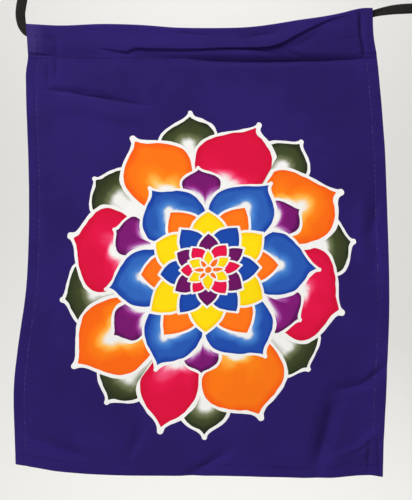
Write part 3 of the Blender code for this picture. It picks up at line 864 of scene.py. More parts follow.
COTTON_THREAD = 0.42 * MM
SLUBS_ACROSS, SLUBS_DOWN = (60.0, 1400.0, 1.0), (1400.0, 60.0, 1.0)


def make_plain_weave():
    """Threads over and under each other, with slubs: a height and a slight change of tone."""
    group, given, result = new_group(
        "plain_weave",
        (("Place", "Vector", None), ("Thread", "Float", COTTON_THREAD), ("Slubs", "Float", 0.5)),
        (("Height", "Float"), ("Tone", "Float")),
    )
    parts = group.nodes.new("ShaderNodeSeparateXYZ")
    feed(group, parts.inputs[0], given["Place"])
    turn = sums(group, "DIVIDE", math.pi, given["Thread"])
    waves = [sums(group, "SINE", times(group, parts.outputs[k], turn)) for k in (0, 1)]
    crossing = sums(group, "MULTIPLY_ADD", times(group, waves[0], waves[1]), 0.5, 0.5)
    slubs = []
    for fineness in (SLUBS_ACROSS, SLUBS_DOWN):
        place = vector_sums(group, "MULTIPLY", given["Place"], fineness)
        slubs.append(noise_at(group, place, 1.0)[0])
    thread = times(group, plus(group, *slubs), given["Slubs"])
    feed(group, result["Height"], plus(group, times(group, crossing, 0.5), thread))
    feed(group, result["Tone"], times(group, plus(group, *slubs), 0.5))
    return group


CREASE_SHARPNESS = 1.7
FLAT_CUT_STEPS = 4


def make_fine_crease():
    """Adds to a height in metres a crease that dies away to both sides and both ends. Its run and its
    breadth are vectors from its middle, each divided by the square of its own length."""
    group, given, result = new_group(
        "fine_crease",
        (("Place", "Vector", None), ("Middle", "Vector", None), ("Run", "Vector", None),
         ("Breadth", "Vector", None), ("Rise", "Float", -1 * MM), ("Under", "Float", 0.0)),
        (("Height", "Float"),),
    )
    offset = vector_sums(group, "SUBTRACT", given["Place"], given["Middle"])
    along = measured(group, "DOT_PRODUCT", offset, given["Run"])
    towards_end = times(group, along, along)
    length_share = sums(group, "MAXIMUM", minus(group, 1.0, towards_end), 0.0)
    aside = sums(group, "ABSOLUTE", measured(group, "DOT_PRODUCT", offset, given["Breadth"]))
    width_share = sums(group, "MAXIMUM", minus(group, 1.0, aside), 0.0)
    width_share = sums(group, "POWER", width_share, CREASE_SHARPNESS)
    share = times(group, width_share, length_share)
    feed(group, result["Height"], sums(group, "MULTIPLY_ADD", share, given["Rise"], given["Under"]))
    return group


def on_flat_cut(point):
    """A point of the hanging face, in millimetres, as a place on the flat cut, found in a few steps."""
    x, z = (p * MM for p in point)
    u = 0.5
    for _ in range(FLAT_CUT_STEPS):
        u += (x - float(across_flag(np.float64(u), z))) / FLAG_WIDTH
    return (u * FLAG_WIDTH, z + FLAG_DROP, 0)


CREASE_WAVER = 3.0 * MM
CREASE_WAVER_SCALE = 70.0


def lay_creases(tree, flat_place):
    """The height in metres of all the fine creases together."""
    crease_group = make_fine_crease()
    height = 0.0
    _, colour = noise_at(tree, flat_place, CREASE_WAVER_SCALE)
    waver = scaled(tree, vector_sums(tree, "SUBTRACT", colour, (0.5, 0.5, 0.5)), CREASE_WAVER)
    place = vector_sums(tree, "ADD", flat_place, waver)
    for crease in FINE_CREASES:
        start, end = (Vector(on_flat_cut(point)) for point in (crease.start, crease.end))
        run = (end - start) / 2
        breadth = Vector((-run.y, run.x, 0)).normalized() * crease.width * MM / 2
        height = use_group(
            tree, crease_group, Place=place, Middle=(start + end) / 2, Run=run / run.length_squared,
            Breadth=breadth / breadth.length_squared, Rise=CREASE_IN_LINE * crease.rise * MM,
            Under=height)["Height"]
    return height


def seen(red, green, blue):
    """A colour as seen on the cloth, each channel out of 255, as the shader's linear colour."""
    channels = [c / 255 for c in (red, green, blue)]
    return (*(c / 12.92 if c <= 0.04045 else ((c + 0.055) / 1.055) ** 2.4 for c in channels), 1)


# Dyes of the picture, each with the tint where it thins out and the deeper tone at a petal's rim.
VIOLET, VIOLET_DEEP = seen(43, 27, 103), seen(37, 22, 90)
PALE_CORNER_VIOLET = seen(108, 92, 168)
BARE_COTTON = seen(242, 241, 238)
Dye = namedtuple("Dye", "main tint rim")
ORANGE = Dye(seen(255, 134, 18), seen(255, 200, 88), seen(247, 92, 12))
CRIMSON = Dye(seen(231, 18, 73), seen(246, 96, 138), seen(208, 9, 52))
BLUE = Dye(seen(60, 120, 202), seen(96, 146, 212), seen(19, 60, 160))
DEEP_BLUE = Dye(seen(24, 72, 168), seen(40, 96, 180), seen(18, 56, 152))
PLUM = Dye(seen(134, 24, 120), seen(178, 92, 176), seen(84, 12, 82))
DEEP_PLUM = Dye(seen(108, 16, 96), seen(120, 30, 108), seen(92, 12, 84))
OLIVE = Dye(seen(66, 75, 42), seen(128, 134, 98), seen(33, 39, 21))
DEEP_ORANGE = Dye(seen(255, 119, 20), seen(255, 150, 60), seen(250, 100, 14))
YELLOW = Dye(seen(254, 220, 8), seen(254, 228, 60), seen(250, 202, 6))

# The picture is a lotus mandala, drawn by hand: rings of petals about one centre, each ring laid over
# the one outside it. Radii and widths are in millimetres on the flat cut, and angles in degrees.
PICTURE_CENTRE = (141.0 * MM, 162.0 * MM)
OUTER_PETALS = listed(
    Petal, (12, 37, 30, 120, 33), (57, 77, 69, 121, 31), (97, 117, 119, 118, 29),
    (139, 170, 166, 112, 34), (193, 218, 218, 123, 33), (241, 255, 257, 131, 23.5),
    (270, 290, 292, 126, 33), (312, 347, 342, 110, 38),
)
BETWEEN_PETALS = listed(
    Petal, (33, 54, 53, 126, 20), (76, 98, 95, 124, 23), (119, 142, 141, 114, 22),
    (166, 191, 192, 115, 25), (214, 236, 236, 127, 21), (255, 272, 272, 132, 19),
    (295, 317, 316, 113, 23), (344, 372, 371, 116, 24),
)
BETWEEN_DYED = 26 * MM
PLUM_PETALS = listed(
    Petal, (2, 35, 33, 88, 15.5), (62, 94, 95, 80, 16.5), (125, 157, 157, 81, 17),
    (188, 215, 217, 89, 16), (240, 269, 270, 83, 14.5), (298, 331, 331, 83, 19),
)
BLUE_PETALS = listed(
    Petal, (31, 61, 53.5, 83.5, 25.5), (92, 124, 126, 78.5, 26), (154, 187, 191, 81, 23.5),
    (215, 241, 246, 86, 24), (268, 299, 305, 83, 27), (336, 366, 360, 86, 26),
)
SMALL_ORANGE_PETALS = listed(
    Petal, (32, 60, 59, 57.5, 14.5), (92, 120, 124, 54.5, 14.5), (152, 184, 184, 54, 15),
    (212, 241, 238, 61, 15), (270, 302, 303, 60.5, 16.5), (332, 365, 363, 56.5, 14),
)
YELLOW_PETALS = listed(
    Petal, (1, 30, 33, 52, 13.5), (60, 89, 90, 46, 15), (121, 152, 153, 47, 15),
    (184, 215, 217, 55, 14.5), (243, 270, 270, 50, 14.5), (301, 331, 332, 50, 14.5),
)
SMALL_BLUE_PETALS = listed(
    Petal, (30, 58, 54, 41, 11.5), (90, 121, 125, 38.5, 11), (153, 186, 186, 39, 10.5),
    (213, 241, 238, 40.5, 10), (271, 302, 305, 41, 11), (331, 361, 362, 41, 11.5),
)
SMALL_PLUM_PETALS = listed(
    Petal, (1, 30, 32, 32.5, 7.5), (60, 89, 90, 29, 9), (121, 152, 152, 28.5, 8.5),
    (183, 213, 213, 31.5, 8.5), (242, 272, 270, 29.5, 9), (303, 333, 331, 31.5, 9),
)
CRIMSON_PETALS = listed(
    Petal, (31, 57, 54, 24.5, 7), (90, 124, 127, 22, 6.5), (153, 181, 181, 22.5, 6),
    (211, 241, 238, 22, 6), (273, 306, 307, 24.5, 7), (335, 364, 367, 26, 5.5),
)
SMALL_YELLOW_PETALS = listed(
    Petal, (1, 29, 29, 18.5, 5), (60, 92, 93, 15.5, 4), (121, 153, 156, 17, 5), (182, 212, 210, 18, 5),
    (242, 272, 274, 17, 4.5), (302, 332, 332, 18, 4.5),
)
INNER_PETALS = listed(
    Petal, (25, 50, 50, 11.5, 2.5), (90, 131, 131, 10, 2), (155, 180, 180, 12.5, 2),
    (205, 228, 228, 10, 2), (270, 313, 313, 10.5, 2), (335, 361, 361, 12.5, 2),
)
# The last two numbers say how far up from the inner rings, and to either side, the bare cotton shows.
LargeRing = namedtuple(
    "LargeRing", "petals base ogee dye rim_depth wax blob deepened bare_reach bare_width")
LARGE_RINGS = listed(
    LargeRing,
    (BETWEEN_PETALS, 72, 1.0, OLIVE, 9, 2.5, 1.0, 0.6, 6.0, 8.5),
    (OUTER_PETALS, 40, 1.0, ORANGE, 14, 2.8, 1.5, 0.6, 7.0, 9),
    (PLUM_PETALS, 50, 1.0, PLUM, 8, 2.2, 0.3, 0.3, 3.0, 9),
    (BLUE_PETALS, 5, 1.0, BLUE, 12, 2.3, 0.7, 0.6, 3.4, 8),
)
SmallRing = namedtuple("SmallRing", "petals base ogee dye rim_depth wax blob")
SMALL_RINGS = listed(
    SmallRing,
    (SMALL_ORANGE_PETALS, 24, 0.1, DEEP_ORANGE, 4, 2.0, 0.1),
    (YELLOW_PETALS, 20, 0.1, YELLOW, 4, 1.9, 0.2),
    (SMALL_BLUE_PETALS, 15, 0.1, DEEP_BLUE, 3, 1.8, 0.3),
    (SMALL_PLUM_PETALS, 11, 0.1, DEEP_PLUM, 3, 1.6, 0.4),
    (CRIMSON_PETALS, 8, 0.1, CRIMSON, 2, 1.5, 0.4),
    (SMALL_YELLOW_PETALS, 4, 0.0, YELLOW, 2, 1.3, 0.3),
    (INNER_PETALS, 3.5, 0.0, DEEP_ORANGE, 2, 1.1, 0.2),
)
CENTRE_RADIUS = 3.1 * MM
CENTRE_WAX = 1.2 * MM
HAND_SWAY = 3.4 * MM
HAND_SHAKE = 0.5 * MM


def lay_picture(tree, flat_place, ground):
    """The violet ground with the whole lotus laid over it, ring by ring from the outside in."""
    from_centre = vector_sums(tree, "SUBTRACT", flat_place, (*PICTURE_CENTRE, 0))
    place = use_group(
        tree, make_hand_waver(), Place=from_centre, Sway=HAND_SWAY, Shake=HAND_SHAKE)["Place"]
    petal_width, waxed_ring = make_petal_width(), make_waxed_ring()
    brushed_petals, plain_petals = make_brushed_petals(waxed_ring), make_plain_petals(waxed_ring)
    middle = minus(tree, measured(tree, "LENGTH", place), CENTRE_RADIUS)

    rings, inner_edges = [], []
    inner = middle
    for ring in reversed(LARGE_RINGS + SMALL_RINGS):
        petals = use_group(
            tree, make_petal_ring(petal_width, ring.petals), Place=place, Base_radius=ring.base * MM,
            Ogee=ring.ogee)
        rings.insert(0, petals)
        inner_edges.insert(0, inner)
        inner = sums(tree, "MINIMUM", inner, petals["Edge"])

    inner_edges[0] = sums(tree, "MAXIMUM", plus(tree, rings[0]["Past tip"], BETWEEN_DYED), 0.0)
    colour = ground
    for ring, petals, inner in zip(LARGE_RINGS, rings, inner_edges):
        dye = ring.dye
        if ring.petals is OUTER_PETALS:
            dye = Dye(*(blended(tree, petals["Odd"], a, b) for a, b in zip(ORANGE, CRIMSON)))
        colour = use_group(
            tree, brushed_petals, Under=colour, Brush=petals["Brush"], Edge=petals["Edge"],
            Tip=petals["Tip"], Across=petals["Across"], Chance=petals["Chance"], Inner_edge=inner,
            Dye=dye.main, Tint=dye.tint, Rim=dye.rim, Rim_depth=ring.rim_depth * MM,
            Deepened=ring.deepened, White_reach=ring.bare_reach * MM, White_width=ring.bare_width * MM,
            Wax_line=ring.wax * MM, Wax_blob=ring.blob * MM, Wax=BARE_COTTON)["Colour"]
    for ring, petals in zip(SMALL_RINGS, rings[len(LARGE_RINGS):]):
        colour = use_group(
            tree, plain_petals, Under=colour, Edge=petals["Edge"], Tip=petals["Tip"], Dye=ring.dye.main,
            Rim=ring.dye.rim, Rim_depth=ring.rim_depth * MM, Wax_line=ring.wax * MM,
            Wax_blob=ring.blob * MM, Wax=BARE_COTTON)["Colour"]
    in_middle = ramp(tree, middle, -EDGE_SOFTNESS, EDGE_SOFTNESS, 1.0, 0.0)
    colour = blended(tree, in_middle, colour, DEEP_ORANGE.main)
    round_middle = minus(tree, sums(tree, "ABSOLUTE", middle), CENTRE_WAX / 2)
    waxed = ramp(tree, round_middle, -EDGE_SOFTNESS, EDGE_SOFTNESS, 1.0, 0.0)
    return blended(tree, waxed, colour, BARE_COTTON)


def new_material(name):
    """A material with its node tree and its Principled shader."""
    material = bpy.data.materials.new(name)
    material.use_nodes = True
    tree = material.node_tree
    return material, tree, tree.nodes["Principled BSDF"]


def add_bump(tree, shader, height):
    """Tilts the shader's surface by a height in metres."""
    bump = tree.nodes.new("ShaderNodeBump")
    bump.inputs["Strength"].default_value = 1.0
    bump.inputs["Distance"].default_value = 1.0
    feed(tree, bump.inputs["Height"], height)
    feed(tree, shader.inputs["Normal"], bump.outputs["Normal"])


plain_weave = make_plain_weave()
# The cloth is a little cloudy, flecked with stray drops of wax, and paler at its upper left corner.
CLOUD_SCALE = 14.0
FLECK_SCALE = 26.0
FLECK_SIZE = 0.006, 0.016
PALE_FROM_SIDE = 4 * MM, 16 * MM
PALE_FROM_TOP = 24 * MM, 16 * MM
THREAD_RISE = 0.03 * MM
# Painted shade: the colour darkens towards a deep violet in the fine creases, the more the deeper they are.
SHADED_CREASE = -0.6 * MM, -0.12 * MM
PAINTED_CREASE_SHADE = seen(16, 10, 34)


def dyed_cotton_material():
    material, tree, shader = new_material("dyed_cotton")
    flat_map = tree.nodes.new("ShaderNodeUVMap")
    flat_map.uv_map = "flat_cut"
    flat_place = flat_map.outputs["UV"]
    clouds, _ = noise_at(tree, flat_place, CLOUD_SCALE, detail=4.0, roughness=0.6)
    ground = blended(tree, ramp(tree, clouds, 0.3, 0.7), VIOLET, VIOLET_DEEP)
    flecks = tree.nodes.new("ShaderNodeTexVoronoi")
    feed(tree, flecks.inputs["Vector"], flat_place)
    feed(tree, flecks.inputs["Scale"], FLECK_SCALE)
    fleck = ramp(tree, flecks.outputs["Distance"], *FLECK_SIZE, 0.30, 0.0)
    ground = blended(tree, fleck, ground, BARE_COTTON)
    parts = tree.nodes.new("ShaderNodeSeparateXYZ")
    feed(tree, parts.inputs[0], flat_place)
    corner = ramp(tree, parts.outputs[0], *PALE_FROM_SIDE, 1.0, 0.0)
    near_top = ramp(tree, parts.outputs[1], *(FLAG_DROP - distance for distance in PALE_FROM_TOP))
    corner = times(tree, corner, near_top)
    corner = times(tree, corner, ramp(tree, clouds, 0.3, 0.75, 0.04, 0.2))
    ground = blended(tree, corner, ground, PALE_CORNER_VIOLET)
    colour = lay_picture(tree, flat_place, ground)
    weave = use_group(tree, plain_weave, Place=flat_place, Thread=COTTON_THREAD, Slubs=0.6)
    crease_height = lay_creases(tree, flat_place)
    tone = ramp(tree, weave["Tone"], 0.3, 0.7, 0.0, 0.05)
    # Painted shade in the fine creases, laid over the weave's slight tone.
    tone = plus(tree, tone, ramp(tree, crease_height, *SHADED_CREASE, 0.34, 0.0))
    colour = blended(tree, tone, colour, PAINTED_CREASE_SHADE)
    feed(tree, shader.inputs["Base Color"], colour)
    feed(tree, shader.inputs["Roughness"], ramp(tree, weave["Tone"], 0.25, 0.75, 0.92, 0.78))
    shader.inputs["Specular IOR Level"].default_value = 0.1
    shader.inputs["Sheen Weight"].default_value = 0.03
    shader.inputs["Sheen Roughness"].default_value = 0.5
    add_bump(tree, shader, sums(tree, "MULTIPLY_ADD", weave["Height"], THREAD_RISE, crease_height))
    return material


flag = add_piece("batik_flag", flag_mesh(), dyed_cotton_material())
body = flag.modifiers.new("cloth thickness", "SOLIDIFY")
body.thickness = CLOTH
body.offset = 0
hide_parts("flag_cloth")

# The hanging is held up by a flat woven cotton tape, faded black, threaded through the casing. It is
# bunched where it enters the casing's mouths and lies flat beyond them, pulled up at the left and out
# at the right.
TAPE_WIDTH = 8.0 * MM
TAPE_THICK = 1.1 * MM
TAPE_BELOW_EDGE = 5.7 * MM
TAPE_STATION_STEP = 1.2 * MM
TAPE_ACROSS_POINTS = 9
CURVE_STEPS = 12
TapePoint = namedtuple("TapePoint", "x y z width_share")
TAPE_LEFT = listed(
    TapePoint, (-143.3, 0.0, 48.0, 0.80), (-143.2, 0.0, 42.0, 1.00), (-143.3, 0.0, 35.0, 1.00),
    (-143.7, -0.3, 28.5, 1.00), (-144.4, -0.7, 22.0, 1.00), (-145.3, -0.8, 16.5, 1.00),
    (-145.9, -0.6, 11.5, 0.97), (-145.7, -0.3, 7.0, 0.94), (-144.9, -0.1, 2.9, 0.88),
    (-143.5, 0.0, -0.4, 0.80), (-141.3, 0.0, -3.2, 0.74), (-137.6, 0.0, -4.8, 0.76),
    (-131.5, 0.0, -4.9, 0.88),
)
TAPE_RIGHT = listed(
    TapePoint, (123.0, 0.0, 9.0, 0.88), (127.4, 0.0, 10.0, 0.74), (131.2, 0.0, 11.0, 0.68),
    (136.2, 0.0, 12.3, 0.74), (141.6, -0.3, 13.3, 0.84), (148.2, -0.7, 14.2, 0.94),
    (155.2, -1.0, 14.7, 1.00), (162.2, -1.0, 15.0, 1.00), (169.5, -0.6, 15.0, 1.00),
    (176.6, -0.2, 14.9, 1.00), (184.0, 0.0, 14.7, 0.80),
)
INSIDE_POINTS = 17
INSIDE_SHARE = 0.94


def tape_route():
    """The whole tape from knot to knot: as listed outside the casing, and under its top fold inside."""
    inside = []
    for i in range(1, INSIDE_POINTS + 1):
        u = 0.5 + (i / (INSIDE_POINTS + 1) - 0.5) * INSIDE_SHARE
        z = float(top_height(u))
        x = float(across_flag(u, z))
        inside.append(TapePoint(x / MM, 0.0, (z - TAPE_BELOW_EDGE) / MM, 1.0))
    return TAPE_LEFT + inside + TAPE_RIGHT


def smooth_curve(points):
    """Points on a smooth curve through the given ones, CURVE_STEPS to each span. The square roots keep
    it from swinging out where some of them stand close together."""
    ends = [points[0] * 2 - points[1]] + list(points) + [points[-1] * 2 - points[-2]]
    curve = []
    for p0, p1, p2, p3 in zip(ends, ends[1:], ends[2:], ends[3:]):
        t1 = math.sqrt((p1 - p0).length)
        t2 = t1 + math.sqrt((p2 - p1).length)
        t3 = t2 + math.sqrt((p3 - p2).length)
        for k in range(CURVE_STEPS):
            t = t1 + (t2 - t1) * k / CURVE_STEPS
            a1 = p0.lerp(p1, t / t1)
            a2 = p1.lerp(p2, (t - t1) / (t2 - t1))
            a3 = p2.lerp(p3, (t - t2) / (t3 - t2))
            b1 = a1.lerp(a2, t / t2)
            b2 = a2.lerp(a3, (t - t1) / (t3 - t1))
            curve.append(b1.lerp(b2, (t - t1) / (t2 - t1)))
    return curve + [points[-1].copy()]


def distances(curve):
    """The distance along a curve to each of its points."""
    along = [0.0]
    for a, b in zip(curve, curve[1:]):
        along.append(along[-1] + (b - a).length)
    return along


def stretch(curve, start, end, step):
    """Evenly spaced stations of a curve between two distances along it. Each is a point and its place
    in the curve's list, as a number with a fraction."""
    along = distances(curve)
    count = max(2, round((end - start) / step))
    stations, k = [], 0
    for i in range(count + 1):
        wanted = start + (end - start) * i / count
        while k < len(along) - 2 and along[k + 1] < wanted:
            k += 1
        share = (wanted - along[k]) / (along[k + 1] - along[k])
        stations.append((curve[k].lerp(curve[k + 1], share), k + share))
    return stations


# The selvedges, as shares of the half width: where they swell and round off, and how much.
SELVEDGE_AT, SELVEDGE_REACH, SELVEDGE_SWELL = 0.86, 0.14, 0.25
ROUNDED_FROM = 0.9
THINNEST_SHARE = 0.12
CUP_SHARE = 0.9


def tape_section(width_share, width, thick):
    """The closed section of the tape: flat, with rounded selvedges, and cupped where it is bunched so
    that it keeps its width of cloth. Points go round it as across and out of its plane."""
    half = width * width_share / 2
    cup = CUP_SHARE * (1 - width_share) * width / 2
    section = []
    last = TAPE_ACROSS_POINTS - 1
    for face in (1, -1):
        for i in range(last + 1):
            share = (2 * i / last - 1) * face
            swell = 1 + SELVEDGE_SWELL * bell((abs(share) - SELVEDGE_AT) / SELVEDGE_REACH)
            rounded = max(0.0, (abs(share) - ROUNDED_FROM) / (1 - ROUNDED_FROM))
            edge = math.sqrt(max(0.0, 1 - rounded ** 2))
            out = face * thick / 2 * float(swell) * max(edge, THINNEST_SHARE)
            section.append((share * half, out + cup * (0.5 - share * share)))
    return section


def sweep_tape(bm, points, width_shares, wide_along=None, width=TAPE_WIDTH, thick=TAPE_THICK):
    """Adds a woven tape along points, as closed rings with capped ends. Its width lies in the flag's
    plane unless wide_along gives another direction."""
    along = distances(points)
    rings = []
    last = len(points) - 1
    for i, (point, share) in enumerate(zip(points, width_shares)):
        tangent = (points[min(i + 1, last)] - points[max(i - 1, 0)]).normalized()
        if wide_along is None:
            across = Vector((0, 1, 0)).cross(tangent).normalized()
        else:
            across = (wide_along - tangent * wide_along.dot(tangent)).normalized()
        out = tangent.cross(across)
        ring = [bm.verts.new(point + across * a + out * o) for a, o in tape_section(share, width, thick)]
        rings.append(ring)
    layers = bm.loops.layers.uv
    tape_length = layers.get("tape_length") or layers.new("tape_length")
    count = len(rings[0])
    for i, (a, b) in enumerate(zip(rings, rings[1:])):
        for k in range(count):
            j = (k + 1) % count
            face = bm.faces.new((a[k], a[j], b[j], b[k]))
            face.smooth = True
            sides = [abs(2 * (c % count) / count - 1) * 2 * width for c in (k, k + 1, k + 1, k)]
            places = (along[i], along[i], along[i + 1], along[i + 1])
            for loop, side, place in zip(face.loops, sides, places):
                loop[tape_length].uv = (side, place)
    for ring, turned in ((rings[0], True), (rings[-1], False)):
        cap = bm.faces.new(ring[::-1] if turned else ring)
        for loop in cap.loops:
            loop[tape_length].uv = (0, along[0] if turned else along[-1])


def finished_mesh(name, bm):
    bmesh.ops.recalc_face_normals(bm, faces=bm.faces)
    mesh = bpy.data.meshes.new(name)
    bm.to_mesh(mesh)
    bm.free()
    return mesh


TAPE_THREAD = 0.62 * MM
TAPE_THREAD_RISE = 0.2 * MM
WEAR_SCALE = 180.0
TAPE_DARK, TAPE_PALE, TAPE_WORN = seen(18, 17, 15), seen(34, 32, 29), seen(56, 53, 48)


def black_tape_material():
    material, tree, shader = new_material("black_tape")
    tape_map = tree.nodes.new("ShaderNodeUVMap")
    tape_map.uv_map = "tape_length"
    place = tape_map.outputs["UV"]
    weave = use_group(tree, plain_weave, Place=place, Thread=TAPE_THREAD, Slubs=0.3)
    worn, _ = noise_at(tree, place, WEAR_SCALE, detail=3.0, roughness=0.6)
    colour = blended(tree, ramp(tree, weave["Height"], 0.25, 0.85), TAPE_DARK, TAPE_PALE)
    colour = blended(tree, ramp(tree, worn, 0.45, 0.75, 0.0, 0.35), colour, TAPE_WORN)
    feed(tree, shader.inputs["Base Color"], colour)
    feed(tree, shader.inputs["Roughness"], ramp(tree, worn, 0.2, 0.8, 0.85, 0.95))
    shader.inputs["Specular IOR Level"].default_value = 0.1
    shader.inputs["Sheen Weight"].default_value = 0.06
    shader.inputs["Sheen Roughness"].default_value = 0.6
    add_bump(tree, shader, times(tree, weave["Height"], TAPE_THREAD_RISE))
    return material


black_tape = black_tape_material()
route = tape_route()
route_curve = smooth_curve([Vector((p.x, p.y, p.z)) * MM for p in route])
route_along = distances(route_curve)
mouth_left = route_along[(len(TAPE_LEFT) - 1) * CURVE_STEPS]
mouth_right = route_along[(len(route) - len(TAPE_RIGHT)) * CURVE_STEPS]
tape_pieces, tape_lines = {}, {}
for tape_name, start, end in (
    ("left", 0.0, mouth_left),
    ("in_casing", mouth_left, mouth_right),
    ("right", mouth_right, route_along[-1]),
):
    stations = stretch(route_curve, start, end, TAPE_STATION_STEP)
    shares = []
    for _, place in stations:
        k = min(int(place / CURVE_STEPS), len(route) - 2)
        t = place / CURVE_STEPS - k
        shares.append(route[k].width_share * (1 - t) + route[k + 1].width_share * t)
    bm = bmesh.new()
    line = [point for point, _ in stations]
    sweep_tape(bm, line, shares)
    piece_name = f"woven_tape_{tape_name}"
    piece = add_piece(piece_name, finished_mesh(piece_name, bm), black_tape)
    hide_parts(f"tape_{tape_name}")
    tape_pieces[tape_name], tape_lines[tape_name] = piece, line

# Each end of the tape is doubled back and tied in an overhand knot, which leaves a loop to go over a
# hook and a short cut tail. The knot is pulled tight into two slanted wraps.
KNOT_HALF_LENGTH = 5.4 * MM
TOUCH_GAP = 0.3 * MM
WRAP_TURNS = 2.25
WRAP_RADIUS = 4.0 * MM
WRAP_WIDTH = 4.6 * MM
WRAP_THICK = 1.9 * MM
WRAP_STEPS = 64
WRAP_RISE = 6.2 * MM
WRAP_SLANT = 1.5 * MM
TUCKED_SHARE = 0.35
TUCKED_OVER = 0.1
CORE_WIDTH = 7.0 * MM
CORE_THICK = 4.2 * MM
CORE_SHARES = (0.75, 0.95, 1, 1, 1, 1, 1, 0.95, 0.8)
WRAP_SHARE = 0.9
LoopPoint = namedtuple("LoopPoint", "along_mm side_mm")
LOOP_HALF = listed(
    LoopPoint, (0.0, 1.6), (5.5, 2.6), (11.0, 5.6), (17.5, 8.6), (24.5, 10.0), (31.0, 8.8), (35.6, 5.4),
    (37.4, 1.2),
)
LOOP_STEP = 1.2 * MM
TAIL_LENGTH = 15 * MM
TAIL_LEAN = math.radians(62)
TAIL_SWAY = 0.9 * MM
TAIL_SWAY_TURN = 5.0
TAIL_SHARE_AT_KNOT = 0.78
TAIL_POINTS = 12


def tied_loop_mesh(name, end, along):
    """Made at the origin with the tape coming up +Z, and then seated on the tape's end."""
    bm = bmesh.new()
    outline = [Vector((-p.side_mm, 0, p.along_mm)) * MM for p in LOOP_HALF]
    outline += [Vector((-p.x, 0, p.z)) for p in outline[::-1]]
    loop_curve = smooth_curve(outline)
    loop_line = [p for p, _ in stretch(loop_curve, 0.0, distances(loop_curve)[-1], LOOP_STEP)]
    sweep_tape(bm, loop_line, [1.0] * len(loop_line), wide_along=Vector((0, 1, 0)))

    core = [Vector((0, 0, z)) * KNOT_HALF_LENGTH for z in np.linspace(-1.0, 1.0, len(CORE_SHARES))]
    sweep_tape(bm, core, CORE_SHARES, width=CORE_WIDTH, thick=CORE_THICK)

    wrap = []
    for i in range(WRAP_STEPS + 1):
        t = i / WRAP_STEPS
        turn = 2 * math.pi * WRAP_TURNS * t
        out = float(smoothstep(min(t, 1 - t) / TUCKED_OVER))
        reach = WRAP_RADIUS * (TUCKED_SHARE + (1 - TUCKED_SHARE) * out)
        height = (t - 0.5) * WRAP_RISE + WRAP_SLANT * math.sin(turn)
        wrap.append(Vector((reach * math.cos(turn), reach * math.sin(turn), height)))
    sweep_tape(
        bm, wrap, [WRAP_SHARE] * len(wrap), wide_along=Vector((0, 0, 1)), width=WRAP_WIDTH,
        thick=WRAP_THICK)

    way = Vector((math.sin(TAIL_LEAN), 0, -math.cos(TAIL_LEAN))) * TAIL_LENGTH
    places = np.linspace(0, 1, TAIL_POINTS)
    tail = [way * t + Vector((0, TAIL_SWAY * math.sin(TAIL_SWAY_TURN * t), 0)) for t in places]
    sweep_tape(bm, tail, list(np.linspace(TAIL_SHARE_AT_KNOT, 1.0, TAIL_POINTS)))

    turn = Vector((0, 0, 1)).rotation_difference(along).to_matrix().to_4x4()
    seat = Matrix.Translation(end + along * (KNOT_HALF_LENGTH + TOUCH_GAP)) @ turn
    bmesh.ops.transform(bm, matrix=seat, verts=bm.verts)
    return finished_mesh(name, bm)


# Where the tape comes out of the casing's mouths, in metres.
EXIT_LEFT = (-0.1413, 0.0, -0.0032)
EXIT_RIGHT = (0.1312, 0.0, 0.011)
for tape_name, exit_point, ends in (
    ("left", EXIT_LEFT, tape_lines["left"][1::-1]),
    ("right", EXIT_RIGHT, tape_lines["right"][-2:]),
):
    away = (ends[1] - ends[0]).normalized()
    piece_name = f"tied_loop_{tape_name}"
    tied = add_piece(piece_name, tied_loop_mesh(piece_name, ends[1], away), black_tape)
    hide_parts(f"loop_{tape_name}")
    line = tape_lines[tape_name]

# The hems and the casing are machine-sewn with a lockstitch in violet polyester thread. Along the sides it
# is paler than the cloth in patches, painted glints, and along the casing and the bottom hem it is darker
# than the cloth, painted shade. The same runs show on the back.
STITCH_PITCH = 4.4 * MM
STITCH_LENGTH = 3.5 * MM
THREAD_RADIUS = 0.17 * MM
THREAD_SIDES = 6
STITCH_POINTS = 6
STITCH_ARCH = 1.5 * THREAD_RADIUS
STITCH_DIP = 0.9 * THREAD_RADIUS
RIGHT_INSET = 8.6 * MM
CASING_RIGHT_INSET = 9.7 * MM
RUNS_APART = 1.5 * MM
SIDE_RUN_FOOT = 9 * MM
CASING_RUN_TOP = 12 * MM


def stitch_runs():
    """The side hems' lines of sewing, and then those of the casing and the bottom hem, each as a function
    from a distance along it to a place on the sheet, and its length."""
    left, right = STITCH_INSET, FLAG_WIDTH - RIGHT_INSET
    casing_right = FLAG_WIDTH - CASING_RIGHT_INSET
    panel_low, panel_high = -FLAG_DROP + SIDE_RUN_FOOT, -SEAM_DROP - RUNS_APART
    casing_low = -SEAM_DROP + RUNS_APART
    sides = (
        (lambda d: (left, panel_low + d), panel_high - panel_low),
        (lambda d: (right, panel_low + d), panel_high - panel_low),
    )
    others = (
        (lambda d: (casing_right, casing_low + d), CASING_RUN_TOP + SEAM_DROP),
        (lambda d: (left, casing_low + d), SEAM_DROP - 2 * RUNS_APART),
        (lambda d: (d, -SEAM_DROP), FLAG_WIDTH),
        (lambda d: (d, float(bottom_height(d / FLAG_WIDTH)) + STITCH_INSET), FLAG_WIDTH),
    )
    return sides, others


